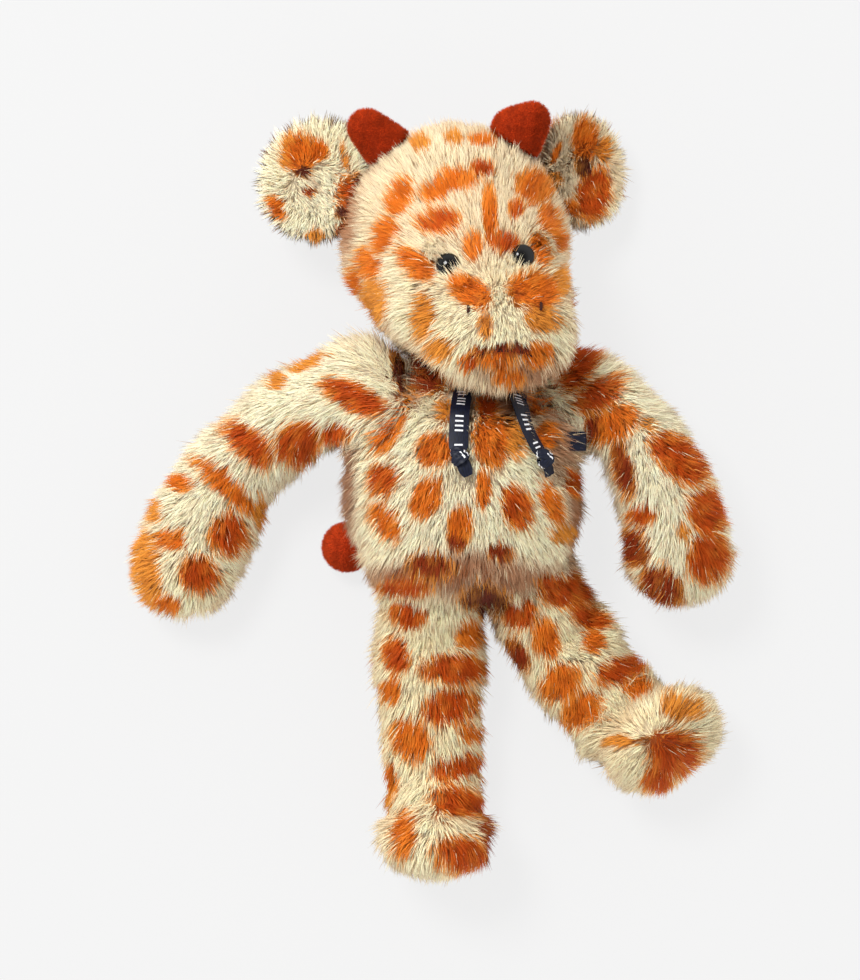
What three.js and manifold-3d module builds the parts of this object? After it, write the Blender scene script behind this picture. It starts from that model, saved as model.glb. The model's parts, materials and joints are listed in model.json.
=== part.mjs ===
// A plush giraffe of long pile fur fabric, lying on its back with its limbs spread.
// Millimetres, +Z up from the surface it lies on, +Y towards the head, +X towards its left side.
import * as THREE from 'three';
import { mergeVertices } from 'three/addons/utils/BufferGeometryUtils.js';
import Module from 'manifold-3d';

const wasm = await Module();
wasm.setup();

// Places are read from a photograph taken from straight above, in its pixels. A pixel is this
// wide at the focus height, and things nearer to the lens look larger.
const pixelWidth = 0.52;
const lensDistance = 1500;
const focusHeight = 50;
const lensPixel = [430, 490];
const originPixel = [465, 485];

// Fabric, stuffing and clearances
const pileWall = 6;
const creaseWallShare = 0.45;
const velvetWall = 2.5;
const gap = 0.3;
const stuffingGap = 0.4;
const pressDepth = 0.5;
const fillingHoleRadius = 8;
const overrun = 60;
const skyHeight = 400;

// Body
const torsoHalfWidth = 62.5;
const torsoHalfDepth = 47.5;
const torsoBottomRound = 27;
const torsoTopRound = 23;
const torsoPixels = [
  [470, 597], [469, 572], [466, 545], [463, 505], [463, 470], [463, 435], [464, 400], [465, 368],
];
const torsoWidthShares = [0.8, 0.9, 0.98, 1, 0.995, 0.955, 0.82, 0.56];
const torsoDepthShares = [0.7, 0.84, 0.96, 1, 0.99, 0.94, 0.82, 0.6];
const torsoLiftShares = [0.06, 0.012, 0, 0, 0, 0, 0.11, 0.39];

// Neck: one stuffed ball that both the body and the head are sewn round
const neckRadius = 26;
const neckPixel = [466, 352];
const neckHeight = 47;

// Head: a round skull, full cheeks and a blunt muzzle
const skullRadii = [57.5, 60, 50.5];
const skullPixel = [457, 238];
const cheekHalfWidth = 52;
const cheekHalfDepth = 47;
const cheekPixels = [[459, 238], [468, 268], [486, 304], [497, 326]];
const cheekHeightShares = [0.98, 1.5, 1.9, 2.18];
const cheekWidthShares = [0.98, 1, 0.9, 0.72];
const cheekDepthShares = [1, 0.96, 0.78, 0.56];
const muzzleRadii = [41, 31.5, 26];
const muzzlePixel = [498, 330];
const muzzleHeight = 103;

// Horns: velvet thimbles with a bulging tip
const hornBaseRadius = 13.5;
const hornTipRadius = 10.5;
const hornRoot = 14;
const rightHornPixels = [[390, 150], [367, 128]];
const leftHornPixels = [[514, 147], [531, 121]];
const hornHeights = [58, 62];
const hornWidthShares = [1.05, 1, 0.9];

// Ears: two cupped panels sewn face to face, on the side of the skull
const earHalfLength = 31;
const earHalfWidth = 32.5;
const earInnerThickness = 6;
const earOuterThickness = 7;
const earCup = 11;
const earHingeShare = 0.8;
const rightEarPixel = [316, 185];
const rightEarHeight = 45;
const rightEarTilt = -8;
const rightEarPull = [-0.92, 0.39];
const leftEarPixel = [584, 168];
const leftEarHeight = 32;
const leftEarTilt = 38;
const leftEarPull = [0.89, 0.46];

// Eyes: moulded domes on a shank, held by a washer behind the fabric
const eyeRadius = 6;
const eyeDomeHeight = 5.2;
const eyeProud = 1.6;
const shankRadius = 2;
const washerRadius = 7;
const washerThickness = 1.6;
const eyePixels = { right: [447, 263], left: [526, 254] };
const eyeHeight = 100;

// Stitches of thread
const nostrilLength = 6;
const nostrilRadius = 0.9;
const nostrilShares = [-0.5, -0.17, 0.17, 0.5];
const nostrilPixels = { right: [468, 309], left: [541, 306] };
const mouthPixels = [[470, 357], [486, 352], [502, 350], [518, 351], [535, 357]];
const mouthRadius = 0.9;
const noseHeight = 122;

// Arms
const socketPlayShare = 0.032;
const armBallRadius = 24;
const armHalfWidth = 26;
const armHalfDepth = 24;
const armEndRound = 24;
const rightArmPixels = [[375, 395], [324, 400], [272, 426], [233, 468], [204, 518], [181, 575], [165, 612]];
const rightArmWidthShares = [0.923, 0.98, 1.02, 1, 1.02, 1.12, 1.02];
const rightArmDepthShares = [1, 1, 1, 0.98, 1, 1.04, 1];
const rightArmLiftShares = [1.346, 1, 0.45, 0.12, 0, 0, 0];
const leftArmPixels = [[569, 390], [610, 405], [643, 440], [663, 485], [675, 530], [681, 572], [684, 604]];
const leftArmWidthShares = [0.923, 0.88, 0.86, 0.92, 1.06, 1.12, 1.02];
const leftArmDepthShares = [1, 1, 1, 1.04, 1.08, 1.1, 1.04];
const leftArmLiftShares = [0.713, 0.9, 1.15, 1.16, 0.92, 0.55, 0.41];

// Legs and feet
const legBallRadius = 27;
const hipSpare = 0.25;
const rightHipSqueeze = 1.67;
const leftHipSqueeze = 1;
const legHalfWidth = 30;
const legHalfDepth = 27;
const legEndRound = 20;
const rightLegPixels = [[430, 607], [429, 650], [430, 700], [432, 750], [434, 800], [435, 838]];
const rightLegWidthShares = [0.9, 1, 1, 0.97, 0.92, 0.9];
const leftLegPixels = [[538, 604], [556, 630], [575, 655], [597, 685], [625, 715], [652, 740]];
const leftLegWidthShares = [0.9, 0.92, 0.94, 0.95, 0.92, 0.86];
const legDepthShares = [1, 1, 1, 0.97, 0.94, 0.9];
const legLiftShares = [0.04, 0, 0, 0, 0, 0];
const footHalfLength = 43;
const footHalfWidth = 31.5;
const footHalfDepth = 21.5;
const rightFootPixel = [436, 837];
const leftFootPixel = [661, 740];
const leftFootTilt = 22;
const betweenLegsPixel = [489, 620];

// Tail
const tailCordRadius = 3.8;
const tailBallRadius = 13.5;
const tailRootPixel = [377, 545];
const tailBallPixel = [347, 547];
const tailHeight = 13;
const tailCordTuck = 2.2;
const tailCordShares = [0, 0.33, 0.67, 1];

// Ribbon and side label
const ribbonWidth = 10;
const ribbonThickness = 0.8;
const ribbonLift = 1.6;
const chestHeight = 86;
const bandPlay = 1.2;
const bandPixel = 359;
const bandKnotRadii = [7, 4.5, 1.6];
const bandKnotRise = 1.3;
const bandRootShares = [0.12, 0.7, 1];
const bandKnotPixel = [476, 366];
const endKnotRadii = [6.2, 6.6, 3.4];
const rightRibbonPixels = [[462, 394], [460, 410], [459, 428], [458, 446], [460, 461]];
const rightRibbonTipPixel = [469, 477];
const leftRibbonPixels = [[517, 394], [523, 411], [529, 428], [536, 446], [543, 460]];
const leftRibbonTipPixel = [551, 477];
const labelWidth = 10;
const labelLength = 15;
const labelThickness = 1.2;
const labelPixel = [572, 441];
const labelHeight = 74;

// How far the joints move, in degrees, which the soft parts are cut clear of
const headNod = [0, 4, 8];
const rightArmRaise = [-12, 40];
const leftArmRaise = [-6, 30];
const legLift = [47];
const earFlap = { right: [-10, 0, 15], left: [-6, 0, 15] };

// Fineness of the soft forms, whose inner faces are coarser than what shows
const innerShare = 0.5;
const capRings = 3;
const torsoSides = 18;
const torsoRings = 8;
const roomSides = 10;
const limbSides = 14;
const armRings = 7;
const legRings = 6;
const cheekRings = 4;
const hornRings = 2;
const earRings = 4;
const socketSides = 12;
const roundSides = 16;
const roundRings = 10;
const skullSides = 20;
const ballSides = 20;
const skullRings = 12;
const domeRings = 4;
const threadSides = 6;
const knotSides = 10;
const knotRings = 6;

const xAxis = new THREE.Vector3(1, 0, 0);
const yAxis = new THREE.Vector3(0, 1, 0);
const zAxis = new THREE.Vector3(0, 0, 1);

// Where a pixel of the photograph lies at a height above the surface
function place([px, py], height) {
  const nearness = lensDistance / (lensDistance - (height - focusHeight));
  return new THREE.Vector3(
    (lensPixel[0] - originPixel[0] + (px - lensPixel[0]) / nearness) * pixelWidth,
    (originPixel[1] - lensPixel[1] + (lensPixel[1] - py) / nearness) * pixelWidth,
    height,
  );
}

const times = (shares, size) => shares.map((share) => share * size);

// Middle heights of an oval form that lies on the surface, pressed flat there, or is lifted off it
const resting = (depthShares, liftShares, halfDepth, sides) => depthShares.map((share, k) => halfDepth
  * (share * Math.cos(Math.PI / sides) + liftShares[k]) - pressDepth);

function solidOf(geometry) {
  const bare = new THREE.BufferGeometry();
  bare.setAttribute('position', geometry.getAttribute('position'));
  bare.setIndex(geometry.getIndex());
  const merged = mergeVertices(bare);
  return new wasm.Manifold(new wasm.Mesh({
    numProp: 3,
    vertProperties: new Float32Array(merged.getAttribute('position').array),
    triVerts: new Uint32Array(merged.getIndex().array),
  }));
}

function geometryOf(solid) {
  const { vertProperties, triVerts } = solid.getMesh();
  const geometry = new THREE.BufferGeometry();
  geometry.setAttribute('position', new THREE.BufferAttribute(new Float32Array(vertProperties), 3));
  geometry.setIndex(new THREE.BufferAttribute(new Uint32Array(triVerts), 1));
  return geometry;
}

const coarser = (count, inset) => (inset > 0 ? Math.ceil(count * innerShare / 2) * 2 : count);
const joined = (solids) => solids.reduce((all, one) => all.add(one));

// A stuffed form: oval rings along a smooth spine, closed by round ends. A larger inset gives the
// inner face of its fabric, and a negative one gives the room that its neighbours keep clear.
function softForm(shape, inset = 0) {
  const { spine, halfWidths, halfDepths, across, startRound, endRound } = shape;
  const rings = coarser(shape.rings, inset);
  const sides = coarser(shape.sides, inset);
  const curve = new THREE.CatmullRomCurve3(spine, false, 'catmullrom');
  const girths = new THREE.CatmullRomCurve3(
    spine.map((point, k) => new THREE.Vector3(halfWidths[k], halfDepths[k], 0)), false, 'catmullrom');
  const length = curve.getLength();
  const stations = [];
  for (let k = 0; k <= capRings; k += 1) {
    const turn = (k / capRings) * Math.PI / 2;
    stations.push([inset + (startRound - inset) * (1 - Math.cos(turn)), Math.sin(turn)]);
  }
  for (let k = 1; k < rings; k += 1) {
    stations.push([startRound + (length - startRound - endRound) * (k / rings), 1]);
  }
  for (let k = 0; k <= capRings; k += 1) {
    const turn = (k / capRings) * Math.PI / 2;
    stations.push([length - inset - (endRound - inset) * (1 - Math.sin(turn)), Math.cos(turn)]);
  }
  const points = [];
  stations.forEach(([at, swell], ring) => {
    const share = THREE.MathUtils.clamp(at / length, 0, 1);
    const step = curve.getUtoTmapping(share);
    const along = curve.getTangent(step);
    const centre = curve.getPoint(step).addScaledVector(along, at - share * length);
    const side = across.clone().addScaledVector(along, -across.dot(along)).normalize();
    const up = side.clone().cross(along);
    const girth = girths.getPoint(step);
    if (ring === 0 || ring === stations.length - 1) {
      points.push(centre);
      return;
    }
    for (let j = 0; j < sides; j += 1) {
      const turn = (j / sides) * Math.PI * 2;
      points.push(centre.clone()
        .addScaledVector(side, (girth.x - inset) * swell * Math.cos(turn))
        .addScaledVector(up, (girth.y - inset) * swell * Math.sin(turn)));
    }
  });
  const last = points.length - 1;
  const faces = [];
  for (let j = 0; j < sides; j += 1) {
    const next = (j + 1) % sides;
    faces.push(0, 1 + j, 1 + next);
    faces.push(last, last - sides + next, last - sides + j);
    for (let ring = 0; ring < stations.length - 3; ring += 1) {
      const near = 1 + ring * sides;
      const far = near + sides;
      faces.push(near + j, far + j, near + next, near + next, far + j, far + next);
    }
  }
  const geometry = new THREE.BufferGeometry().setFromPoints(points);
  geometry.setIndex(faces);
  return geometry;
}

function oval(centre, radii, inset = 0, sides = roundSides, rings = roundRings) {
  const geometry = new THREE.SphereGeometry(1, coarser(sides, inset), coarser(rings, inset));
  geometry.scale(...radii.map((radius) => radius - inset));
  geometry.rotateX(Math.PI / 2);
  return geometry.translate(centre.x, centre.y, centre.z);
}

const ball = (centre, radius, sides) => solidOf(new THREE.SphereGeometry(radius, sides, sides / 2)
  .translate(centre.x, centre.y, centre.z));

// A ball whose flat faces all lie outside the radius, so what turns in it stays clear
function socket(centre, radius, inset = 0) {
  const sides = coarser(socketSides, inset);
  return ball(centre, (radius + inset) / Math.cos(Math.PI / sides) ** 2, sides);
}
const socketRadius = (ballRadius) => ballRadius * (1 + socketPlayShare);

function rod(from, to, radius) {
  const length = from.distanceTo(to);
  const geometry = new THREE.CylinderGeometry(radius, radius, length, socketSides);
  const way = to.clone().sub(from).normalize();
  geometry.applyQuaternion(new THREE.Quaternion().setFromUnitVectors(yAxis, way));
  const middle = from.clone().add(to).multiplyScalar(0.5);
  return solidOf(geometry.translate(middle.x, middle.y, middle.z));
}

function turned(geometry, pivot, axis, degrees) {
  const matrix = new THREE.Matrix4().makeTranslation(pivot.x, pivot.y, pivot.z);
  matrix.multiply(new THREE.Matrix4().makeRotationAxis(axis, THREE.MathUtils.degToRad(degrees)));
  matrix.multiply(new THREE.Matrix4().makeTranslation(-pivot.x, -pivot.y, -pivot.z));
  return geometry.clone().applyMatrix4(matrix);
}

// The room that a neighbour needs, seen from a piece that has turned by each of these angles
function roomAt(angles, geometries, pivot, axis) {
  return joined(angles.flatMap((degrees) => geometries
    .map((geometry) => solidOf(turned(geometry, pivot, axis, -degrees)))));
}

const floorSlab = solidOf(new THREE.BoxGeometry(skyHeight * 2, skyHeight * 2, overrun)
  .translate(0, 0, -overrun / 2));
const aboveFloor = (solid) => solid.subtract(floorSlab);
const floorSkin = (solid, wall) => {
  const slab = solidOf(new THREE.BoxGeometry(skyHeight * 2, skyHeight * 2, overrun)
    .translate(0, 0, wall - overrun / 2));
  return solid.subtract(slab);
};

// A stuffed piece has a fabric skin with a small filling hole at its seam, and a filling inside.
// The make function gives its solid for an inset.
function stuffed(make, wall, hole) {
  const skin = aboveFloor(make(0)).subtract(floorSkin(make(wall), wall)).subtract(hole);
  const filling = floorSkin(make(wall + stuffingGap), wall + stuffingGap);
  return { skin, filling };
}

const group = new THREE.Group();

function finish(color, roughness) {
  return new THREE.MeshStandardMaterial({ color, roughness, metalness: 0 });
}
const creamFur = finish('#efe0b4', 0.95);
const rustVelvet = finish('#b5380f', 0.9);
const whiteFibre = finish('#f2f0ea', 1);
const blackGloss = finish('#0b0b0c', 0.12);
const whiteNylon = finish('#dcdcd6', 0.5);
const brownThread = finish('#4a1c0c', 0.7);
const navySatin = finish('#151a33', 0.45);

function addPiece(name, solid, material) {
  const geometry = geometryOf(solid);
  geometry.computeVertexNormals();
  const mesh = new THREE.Mesh(geometry, material);
  mesh.name = name;
  group.add(mesh);
  return mesh;
}

function addStuffed(name, { skin, filling }, material) {
  addPiece(`${name}_skin`, skin, material);
  addPiece(`${name}_stuffing`, filling, whiteFibre);
}

// The first point that a plumb line from above meets on a piece
function drop(mesh, x, y) {
  mesh.material.side = THREE.DoubleSide;
  const ray = new THREE.Raycaster(new THREE.Vector3(x, y, skyHeight), zAxis.clone().negate());
  return ray.intersectObject(mesh)[0].point;
}

// The direction that a piece faces round a point, over a small patch
function facing(mesh, at, reach) {
  const east = drop(mesh, at.x + reach, at.y).sub(drop(mesh, at.x - reach, at.y));
  const north = drop(mesh, at.x, at.y + reach).sub(drop(mesh, at.x, at.y - reach));
  return east.cross(north).normalize();
}

// Neck ball, with its pivot shared by both neck joints
const neckCentre = place(neckPixel, neckHeight);
const neckHole = rod(neckCentre, neckCentre.clone().addScaledVector(yAxis, -overrun), fillingHoleRadius);
addStuffed('neck', stuffed(
  (inset) => solidOf(oval(neckCentre, [neckRadius, neckRadius, neckRadius], inset)),
  pileWall, neckHole), creamFur);

// Limb shapes, before they are cut clear of the body
function limbShape({ pixels, heights, halfWidths, halfDepths, ball, endRound, rings }) {
  const spine = pixels.map((pixel, k) => place(pixel, heights[k]));
  const start = spine[0].clone().sub(spine[1]).setLength(ball).add(spine[0]);
  return {
    spine: [start, ...spine],
    halfWidths: [ball, ...halfWidths],
    halfDepths: [ball, ...halfDepths],
    across: zAxis.clone().cross(spine[spine.length - 1].clone().sub(spine[0])).normalize(),
    startRound: ball,
    endRound,
    rings,
    sides: limbSides,
    pivot: spine[0],
  };
}

const rightArm = limbShape({
  pixels: rightArmPixels,
  heights: resting(rightArmDepthShares, rightArmLiftShares, armHalfDepth, limbSides),
  halfWidths: times(rightArmWidthShares, armHalfWidth),
  halfDepths: times(rightArmDepthShares, armHalfDepth),
  ball: armBallRadius,
  endRound: armEndRound,
  rings: armRings,
});
const leftArm = limbShape({
  pixels: leftArmPixels,
  heights: resting(leftArmDepthShares, leftArmLiftShares, armHalfDepth, limbSides),
  halfWidths: times(leftArmWidthShares, armHalfWidth),
  halfDepths: times(leftArmDepthShares, armHalfDepth),
  ball: armBallRadius,
  endRound: armEndRound,
  rings: armRings,
});
const legHeights = resting(legDepthShares, legLiftShares, legHalfDepth, limbSides);
const rightLeg = limbShape({
  pixels: rightLegPixels,
  heights: legHeights,
  halfWidths: times(rightLegWidthShares, legHalfWidth),
  halfDepths: times(legDepthShares, legHalfDepth),
  ball: legBallRadius,
  endRound: legEndRound,
  rings: legRings,
});
const leftLeg = limbShape({
  pixels: leftLegPixels,
  heights: legHeights,
  halfWidths: times(leftLegWidthShares, legHalfWidth),
  halfDepths: times(legDepthShares, legHalfDepth),
  ball: legBallRadius,
  endRound: legEndRound,
  rings: legRings,
});

// Tail root, on the side of the back
const tailRoot = place(tailRootPixel, tailHeight);
const tailBall = place(tailBallPixel, tailBallRadius - pressDepth);

// Body
const torsoHeights = resting(torsoDepthShares, torsoLiftShares, torsoHalfDepth, torsoSides);
const torso = {
  spine: torsoPixels.map((pixel, k) => place(pixel, torsoHeights[k])),
  halfWidths: times(torsoWidthShares, torsoHalfWidth),
  halfDepths: times(torsoDepthShares, torsoHalfDepth),
  across: xAxis,
  startRound: torsoBottomRound,
  endRound: torsoTopRound,
  rings: torsoRings,
  sides: torsoSides,
};
const labelRoot = place(labelPixel, labelHeight);
function labelBox(spare) {
  return new THREE.BoxGeometry(labelLength + spare, labelWidth + spare, labelThickness + spare)
    .translate(labelRoot.x, labelRoot.y, labelRoot.z);
}
const hipSocket = (pivot, squeeze, inset) => socket(
  pivot.clone().addScaledVector(yAxis, -squeeze), socketRadius(legBallRadius) + hipSpare, inset);
const sockets = (inset) => joined([
  socket(neckCentre, neckRadius + gap, inset),
  socket(rightArm.pivot, socketRadius(armBallRadius), inset),
  socket(leftArm.pivot, socketRadius(armBallRadius), inset),
  hipSocket(rightLeg.pivot, rightHipSqueeze, inset),
  hipSocket(leftLeg.pivot, leftHipSqueeze, inset),
  socket(tailRoot, tailCordRadius + gap, inset),
]);
const torsoSkin = stuffed(
  (inset) => solidOf(softForm(torso, inset)).subtract(sockets(inset)),
  pileWall,
  rod(neckCentre, neckCentre.clone().addScaledVector(yAxis, -overrun), fillingHoleRadius),
);
torsoSkin.skin = torsoSkin.skin.subtract(solidOf(labelBox(gap * 2)));
addStuffed('torso', torsoSkin, creamFur);
addPiece('side_label', solidOf(labelBox(0)), navySatin);

// Outside the ball that turns in its socket, a limb is creased where it would press on the body
// at the ends of its range. A plainer form that holds all of the body stands for it there.
function creased(shape, neighbour, axis, angles, extra = []) {
  const hole = rod(shape.pivot, shape.spine[0].clone().sub(shape.pivot).multiplyScalar(2).add(shape.pivot),
    fillingHoleRadius);
  const reach = socketRadius(shape.startRound) - gap / 2;
  return stuffed((inset) => {
    const room = roomAt(angles, [neighbour(gap * 2 + inset * creaseWallShare)], shape.pivot, axis)
      .subtract(ball(shape.pivot, reach - inset * creaseWallShare, ballSides));
    const whole = joined([solidOf(softForm(shape, inset)), ...extra.map((form) => form(inset))]);
    return whole.subtract(room);
  }, pileWall, hole);
}
const plainGrowth = 1 / Math.cos(Math.PI / roomSides);
const plainTorso = (room) => softForm({
  ...torso,
  halfWidths: times(torso.halfWidths, plainGrowth),
  halfDepths: times(torso.halfDepths, plainGrowth),
  sides: roomSides,
}, -room);
const torsoForm = softForm(torso);
torsoForm.computeBoundingBox();
const bottomSlab = (room) => new THREE.BoxGeometry(skyHeight, skyHeight, skyHeight)
  .translate(0, torsoForm.boundingBox.min.y - room + skyHeight / 2, 0);

addStuffed('arm_right', creased(rightArm, plainTorso, zAxis.clone().negate(), rightArmRaise), creamFur);
addStuffed('arm_left', creased(leftArm, plainTorso, zAxis, leftArmRaise), creamFur);

// Feet: a slab with the toe up and the sole facing away along the leg
function foot(pixel, along, tilt) {
  const sole = along.clone().multiplyScalar(Math.cos(tilt)).addScaledVector(zAxis, Math.sin(tilt));
  const toe = zAxis.clone().multiplyScalar(Math.cos(tilt)).addScaledVector(along, -Math.sin(tilt));
  const across = sole.clone().cross(toe);
  const turn = new THREE.Matrix4().makeBasis(across, sole, toe);
  const reach = Math.hypot(footHalfLength * Math.cos(tilt), footHalfDepth * Math.sin(tilt));
  const centre = place(pixel, reach - pressDepth);
  return (inset) => {
    const geometry = new THREE.SphereGeometry(1, coarser(roundSides, inset), coarser(roundRings, inset));
    geometry.scale(footHalfWidth - inset, footHalfDepth - inset, footHalfLength - inset);
    return solidOf(geometry.applyMatrix4(turn).translate(centre.x, centre.y, centre.z));
  };
}
const rightFoot = foot(rightFootPixel, yAxis.clone().negate(), 0);
const leftWay = leftLeg.spine[leftLeg.spine.length - 1].clone().sub(leftLeg.pivot).setZ(0).normalize();
const leftFoot = foot(leftFootPixel, leftWay, THREE.MathUtils.degToRad(leftFootTilt));

// The legs turn about a line across the body, so a plane between them keeps them apart
const legPlane = place(betweenLegsPixel, legHalfDepth).x;
function sideOfPlane(sign) {
  return (inset) => solidOf(new THREE.BoxGeometry(skyHeight, skyHeight * 2, skyHeight * 2)
    .translate(legPlane + sign * (gap / 2 + inset - skyHeight / 2), 0, 0));
}
function leg(shape, footForm, sign) {
  const beyond = sideOfPlane(sign);
  const made = creased(shape, bottomSlab, xAxis.clone().negate(), legLift, [footForm]);
  return {
    skin: made.skin.subtract(beyond(0)),
    filling: made.filling.subtract(beyond(pileWall + stuffingGap)),
  };
}
addStuffed('leg_right', leg(rightLeg, rightFoot, -1), creamFur);
addStuffed('leg_left', leg(leftLeg, leftFoot, 1), creamFur);

// Tail: a fabric cord with a stuffed velvet ball
const tailWay = tailBall.clone().sub(tailRoot).normalize();
const tailEnd = tailBall.clone().addScaledVector(tailWay, tailCordTuck - tailBallRadius);
const tailCord = {
  spine: tailCordShares.map((share) => tailRoot.clone()
    .addScaledVector(tailWay, -tailCordRadius).lerp(tailEnd, share)),
  halfWidths: tailCordShares.map(() => tailCordRadius),
  halfDepths: tailCordShares.map(() => tailCordRadius),
  across: zAxis,
  startRound: tailCordRadius,
  endRound: tailCordRadius / 2,
  rings: tailCordShares.length,
  sides: socketSides,
};
addPiece('tail_cord', solidOf(softForm(tailCord)), rustVelvet);
const ballHole = rod(tailEnd.clone().addScaledVector(tailWay, velvetWall),
  tailBall.clone().addScaledVector(tailWay, -overrun), tailCordRadius + gap);
addStuffed('tail_ball', stuffed(
  (inset) => solidOf(oval(tailBall, [tailBallRadius, tailBallRadius, tailBallRadius], inset)),
  velvetWall, ballHole), rustVelvet);

// Head
const skullCentre = place(skullPixel, skullRadii[2] - pressDepth);
const cheeks = {
  spine: cheekPixels.map((pixel, k) => place(pixel, cheekHeightShares[k] * skullRadii[2])),
  halfWidths: times(cheekWidthShares, cheekHalfWidth),
  halfDepths: times(cheekDepthShares, cheekHalfDepth),
  across: xAxis,
  startRound: cheekHalfDepth / 2,
  endRound: muzzleRadii[2] / 2,
  rings: cheekRings,
  sides: torsoSides,
};
const muzzleCentre = place(muzzlePixel, muzzleHeight);
const headForms = (inset) => [
  oval(skullCentre, [skullRadii[0], skullRadii[2], skullRadii[1]], inset, skullSides, skullRings),
  softForm(cheeks, inset),
  oval(muzzleCentre, [muzzleRadii[0], muzzleRadii[2], muzzleRadii[1]], inset),
];
const bandCentre = place([neckPixel[0], bandPixel], neckHeight);
const bandInner = neckRadius + bandPlay;

// The throat is hollowed so that the chin clears the ribbon as the head turns and nods
function throat(inset) {
  const radius = (bandInner + bandKnotRise + bandKnotRadii[2] + gap * 3 + inset)
    / Math.cos(Math.PI / roundSides);
  const top = ribbonWidth / 2 + gap + inset;
  const geometry = new THREE.CylinderGeometry(radius, radius, top + overrun, roundSides);
  return geometry.translate(bandCentre.x, bandCentre.y + (top - overrun) / 2, bandCentre.z);
}
const headSolid = (inset) => joined(headForms(inset).map(solidOf))
  .subtract(socket(neckCentre, neckRadius + gap, inset))
  .subtract(roomAt(headNod, [throat(inset * creaseWallShare)], neckCentre, xAxis));
const head = stuffed(headSolid, pileWall,
  rod(neckCentre, neckCentre.clone().addScaledVector(yAxis, overrun), fillingHoleRadius));
const headSurface = new THREE.Mesh(geometryOf(headSolid(0)), creamFur);

// Eyes
function dress(pixel, guess) {
  let at = place(pixel, guess);
  for (let k = 0; k < 3; k += 1) {
    const found = drop(headSurface, at.x, at.y);
    at = place(pixel, found.z);
  }
  return drop(headSurface, at.x, at.y);
}
const lathe = (profile, at, way) => {
  const geometry = new THREE.LatheGeometry(profile.map(([r, y]) => new THREE.Vector2(r, y)), roundSides);
  geometry.applyQuaternion(new THREE.Quaternion().setFromUnitVectors(yAxis, way));
  return solidOf(geometry.translate(at.x, at.y, at.z));
};
const domeFoot = eyeProud - eyeDomeHeight;
const washerTop = -pileWall - stuffingGap * 2;
const shankEnd = washerTop - washerThickness - stuffingGap;
const domeProfile = [[0, shankEnd], [shankRadius, shankEnd], [shankRadius, domeFoot], [eyeRadius, domeFoot]];
for (let k = 1; k <= domeRings; k += 1) {
  const turn = (k / domeRings) * Math.PI / 2;
  const radius = k === domeRings ? 0 : eyeRadius * Math.cos(turn);
  domeProfile.push([radius, domeFoot + eyeDomeHeight * Math.sin(turn)]);
}
const washerProfile = [
  [shankRadius + gap, washerTop], [shankRadius + gap, washerTop - washerThickness],
  [washerRadius, washerTop - washerThickness], [washerRadius, washerTop], [shankRadius + gap, washerTop],
];
['right', 'left'].forEach((side) => {
  const at = dress(eyePixels[side], eyeHeight);
  const way = facing(headSurface, at, eyeRadius);
  const along = (depth) => at.clone().addScaledVector(way, depth);
  const round = (radius) => (radius + gap) / Math.cos(Math.PI / socketSides);
  head.skin = head.skin
    .subtract(rod(along(domeFoot - gap), along(overrun), round(eyeRadius)))
    .subtract(rod(along(-overrun / 2), along(0), round(shankRadius)))
    .subtract(rod(along(-overrun / 2), along(washerTop + gap), round(washerRadius)));
  head.filling = head.filling
    .subtract(rod(along(shankEnd - gap), along(overrun), round(washerRadius)));
  addPiece(`eye_${side}`, lathe(domeProfile, at, way), blackGloss);
  addPiece(`eye_washer_${side}`, lathe(washerProfile, at, way), whiteNylon);
});

// Stitches, each half sunk into the pile
function thread(points, radius, spare) {
  return solidOf(softForm({
    spine: points,
    halfWidths: points.map(() => radius + spare),
    halfDepths: points.map(() => radius + spare),
    across: zAxis,
    startRound: radius + spare,
    endRound: radius + spare,
    rings: points.length,
    sides: threadSides,
  }));
}
function sew(name, points, radius) {
  const grown = points.map((point) => point.clone());
  const stretch = (end, next) => end.clone().sub(next).setLength(gap);
  grown[0].add(stretch(points[0], points[1]));
  grown[points.length - 1].add(stretch(points[points.length - 1], points[points.length - 2]));
  head.skin = head.skin.subtract(thread(grown, radius, gap));
  addPiece(name, thread(points, radius, 0), brownThread);
}
['right', 'left'].forEach((side) => {
  const middle = dress(nostrilPixels[side], noseHeight);
  const points = nostrilShares.map(
    (share) => drop(headSurface, middle.x, middle.y + share * nostrilLength));
  sew(`nostril_stitch_${side}`, points, nostrilRadius);
});
sew('mouth_stitch', mouthPixels.map((pixel) => dress(pixel, noseHeight)), mouthRadius);

// Horns
function hornShape(pixels) {
  const base = place(pixels[0], hornHeights[0]);
  const tip = place(pixels[1], hornHeights[1]);
  const way = tip.clone().sub(base).normalize();
  const root = base.clone().addScaledVector(way, -hornRoot);
  const radii = [...times(hornWidthShares, hornBaseRadius), hornTipRadius, hornTipRadius];
  return {
    spine: [root, base, base.clone().lerp(tip, 0.5), tip, tip.clone().addScaledVector(way, hornTipRadius)],
    halfWidths: radii,
    halfDepths: radii,
    across: zAxis,
    startRound: velvetWall * 2,
    endRound: hornTipRadius,
    rings: hornRings,
    sides: limbSides,
  };
}
const rightHorn = hornShape(rightHornPixels);
function horn(name, shape) {
  const clear = (solid, room) => solid.subtract(solidOf(headForms(-room)[0]));
  const skin = clear(solidOf(softForm(shape)), gap)
    .subtract(clear(solidOf(softForm(shape, velvetWall)), -velvetWall));
  const filling = clear(solidOf(softForm(shape, velvetWall + stuffingGap)), gap);
  addStuffed(name, { skin, filling }, rustVelvet);
}
horn('horn_right', rightHorn);
horn('horn_left', hornShape(leftHornPixels));

addStuffed('head', head, creamFur);

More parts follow.
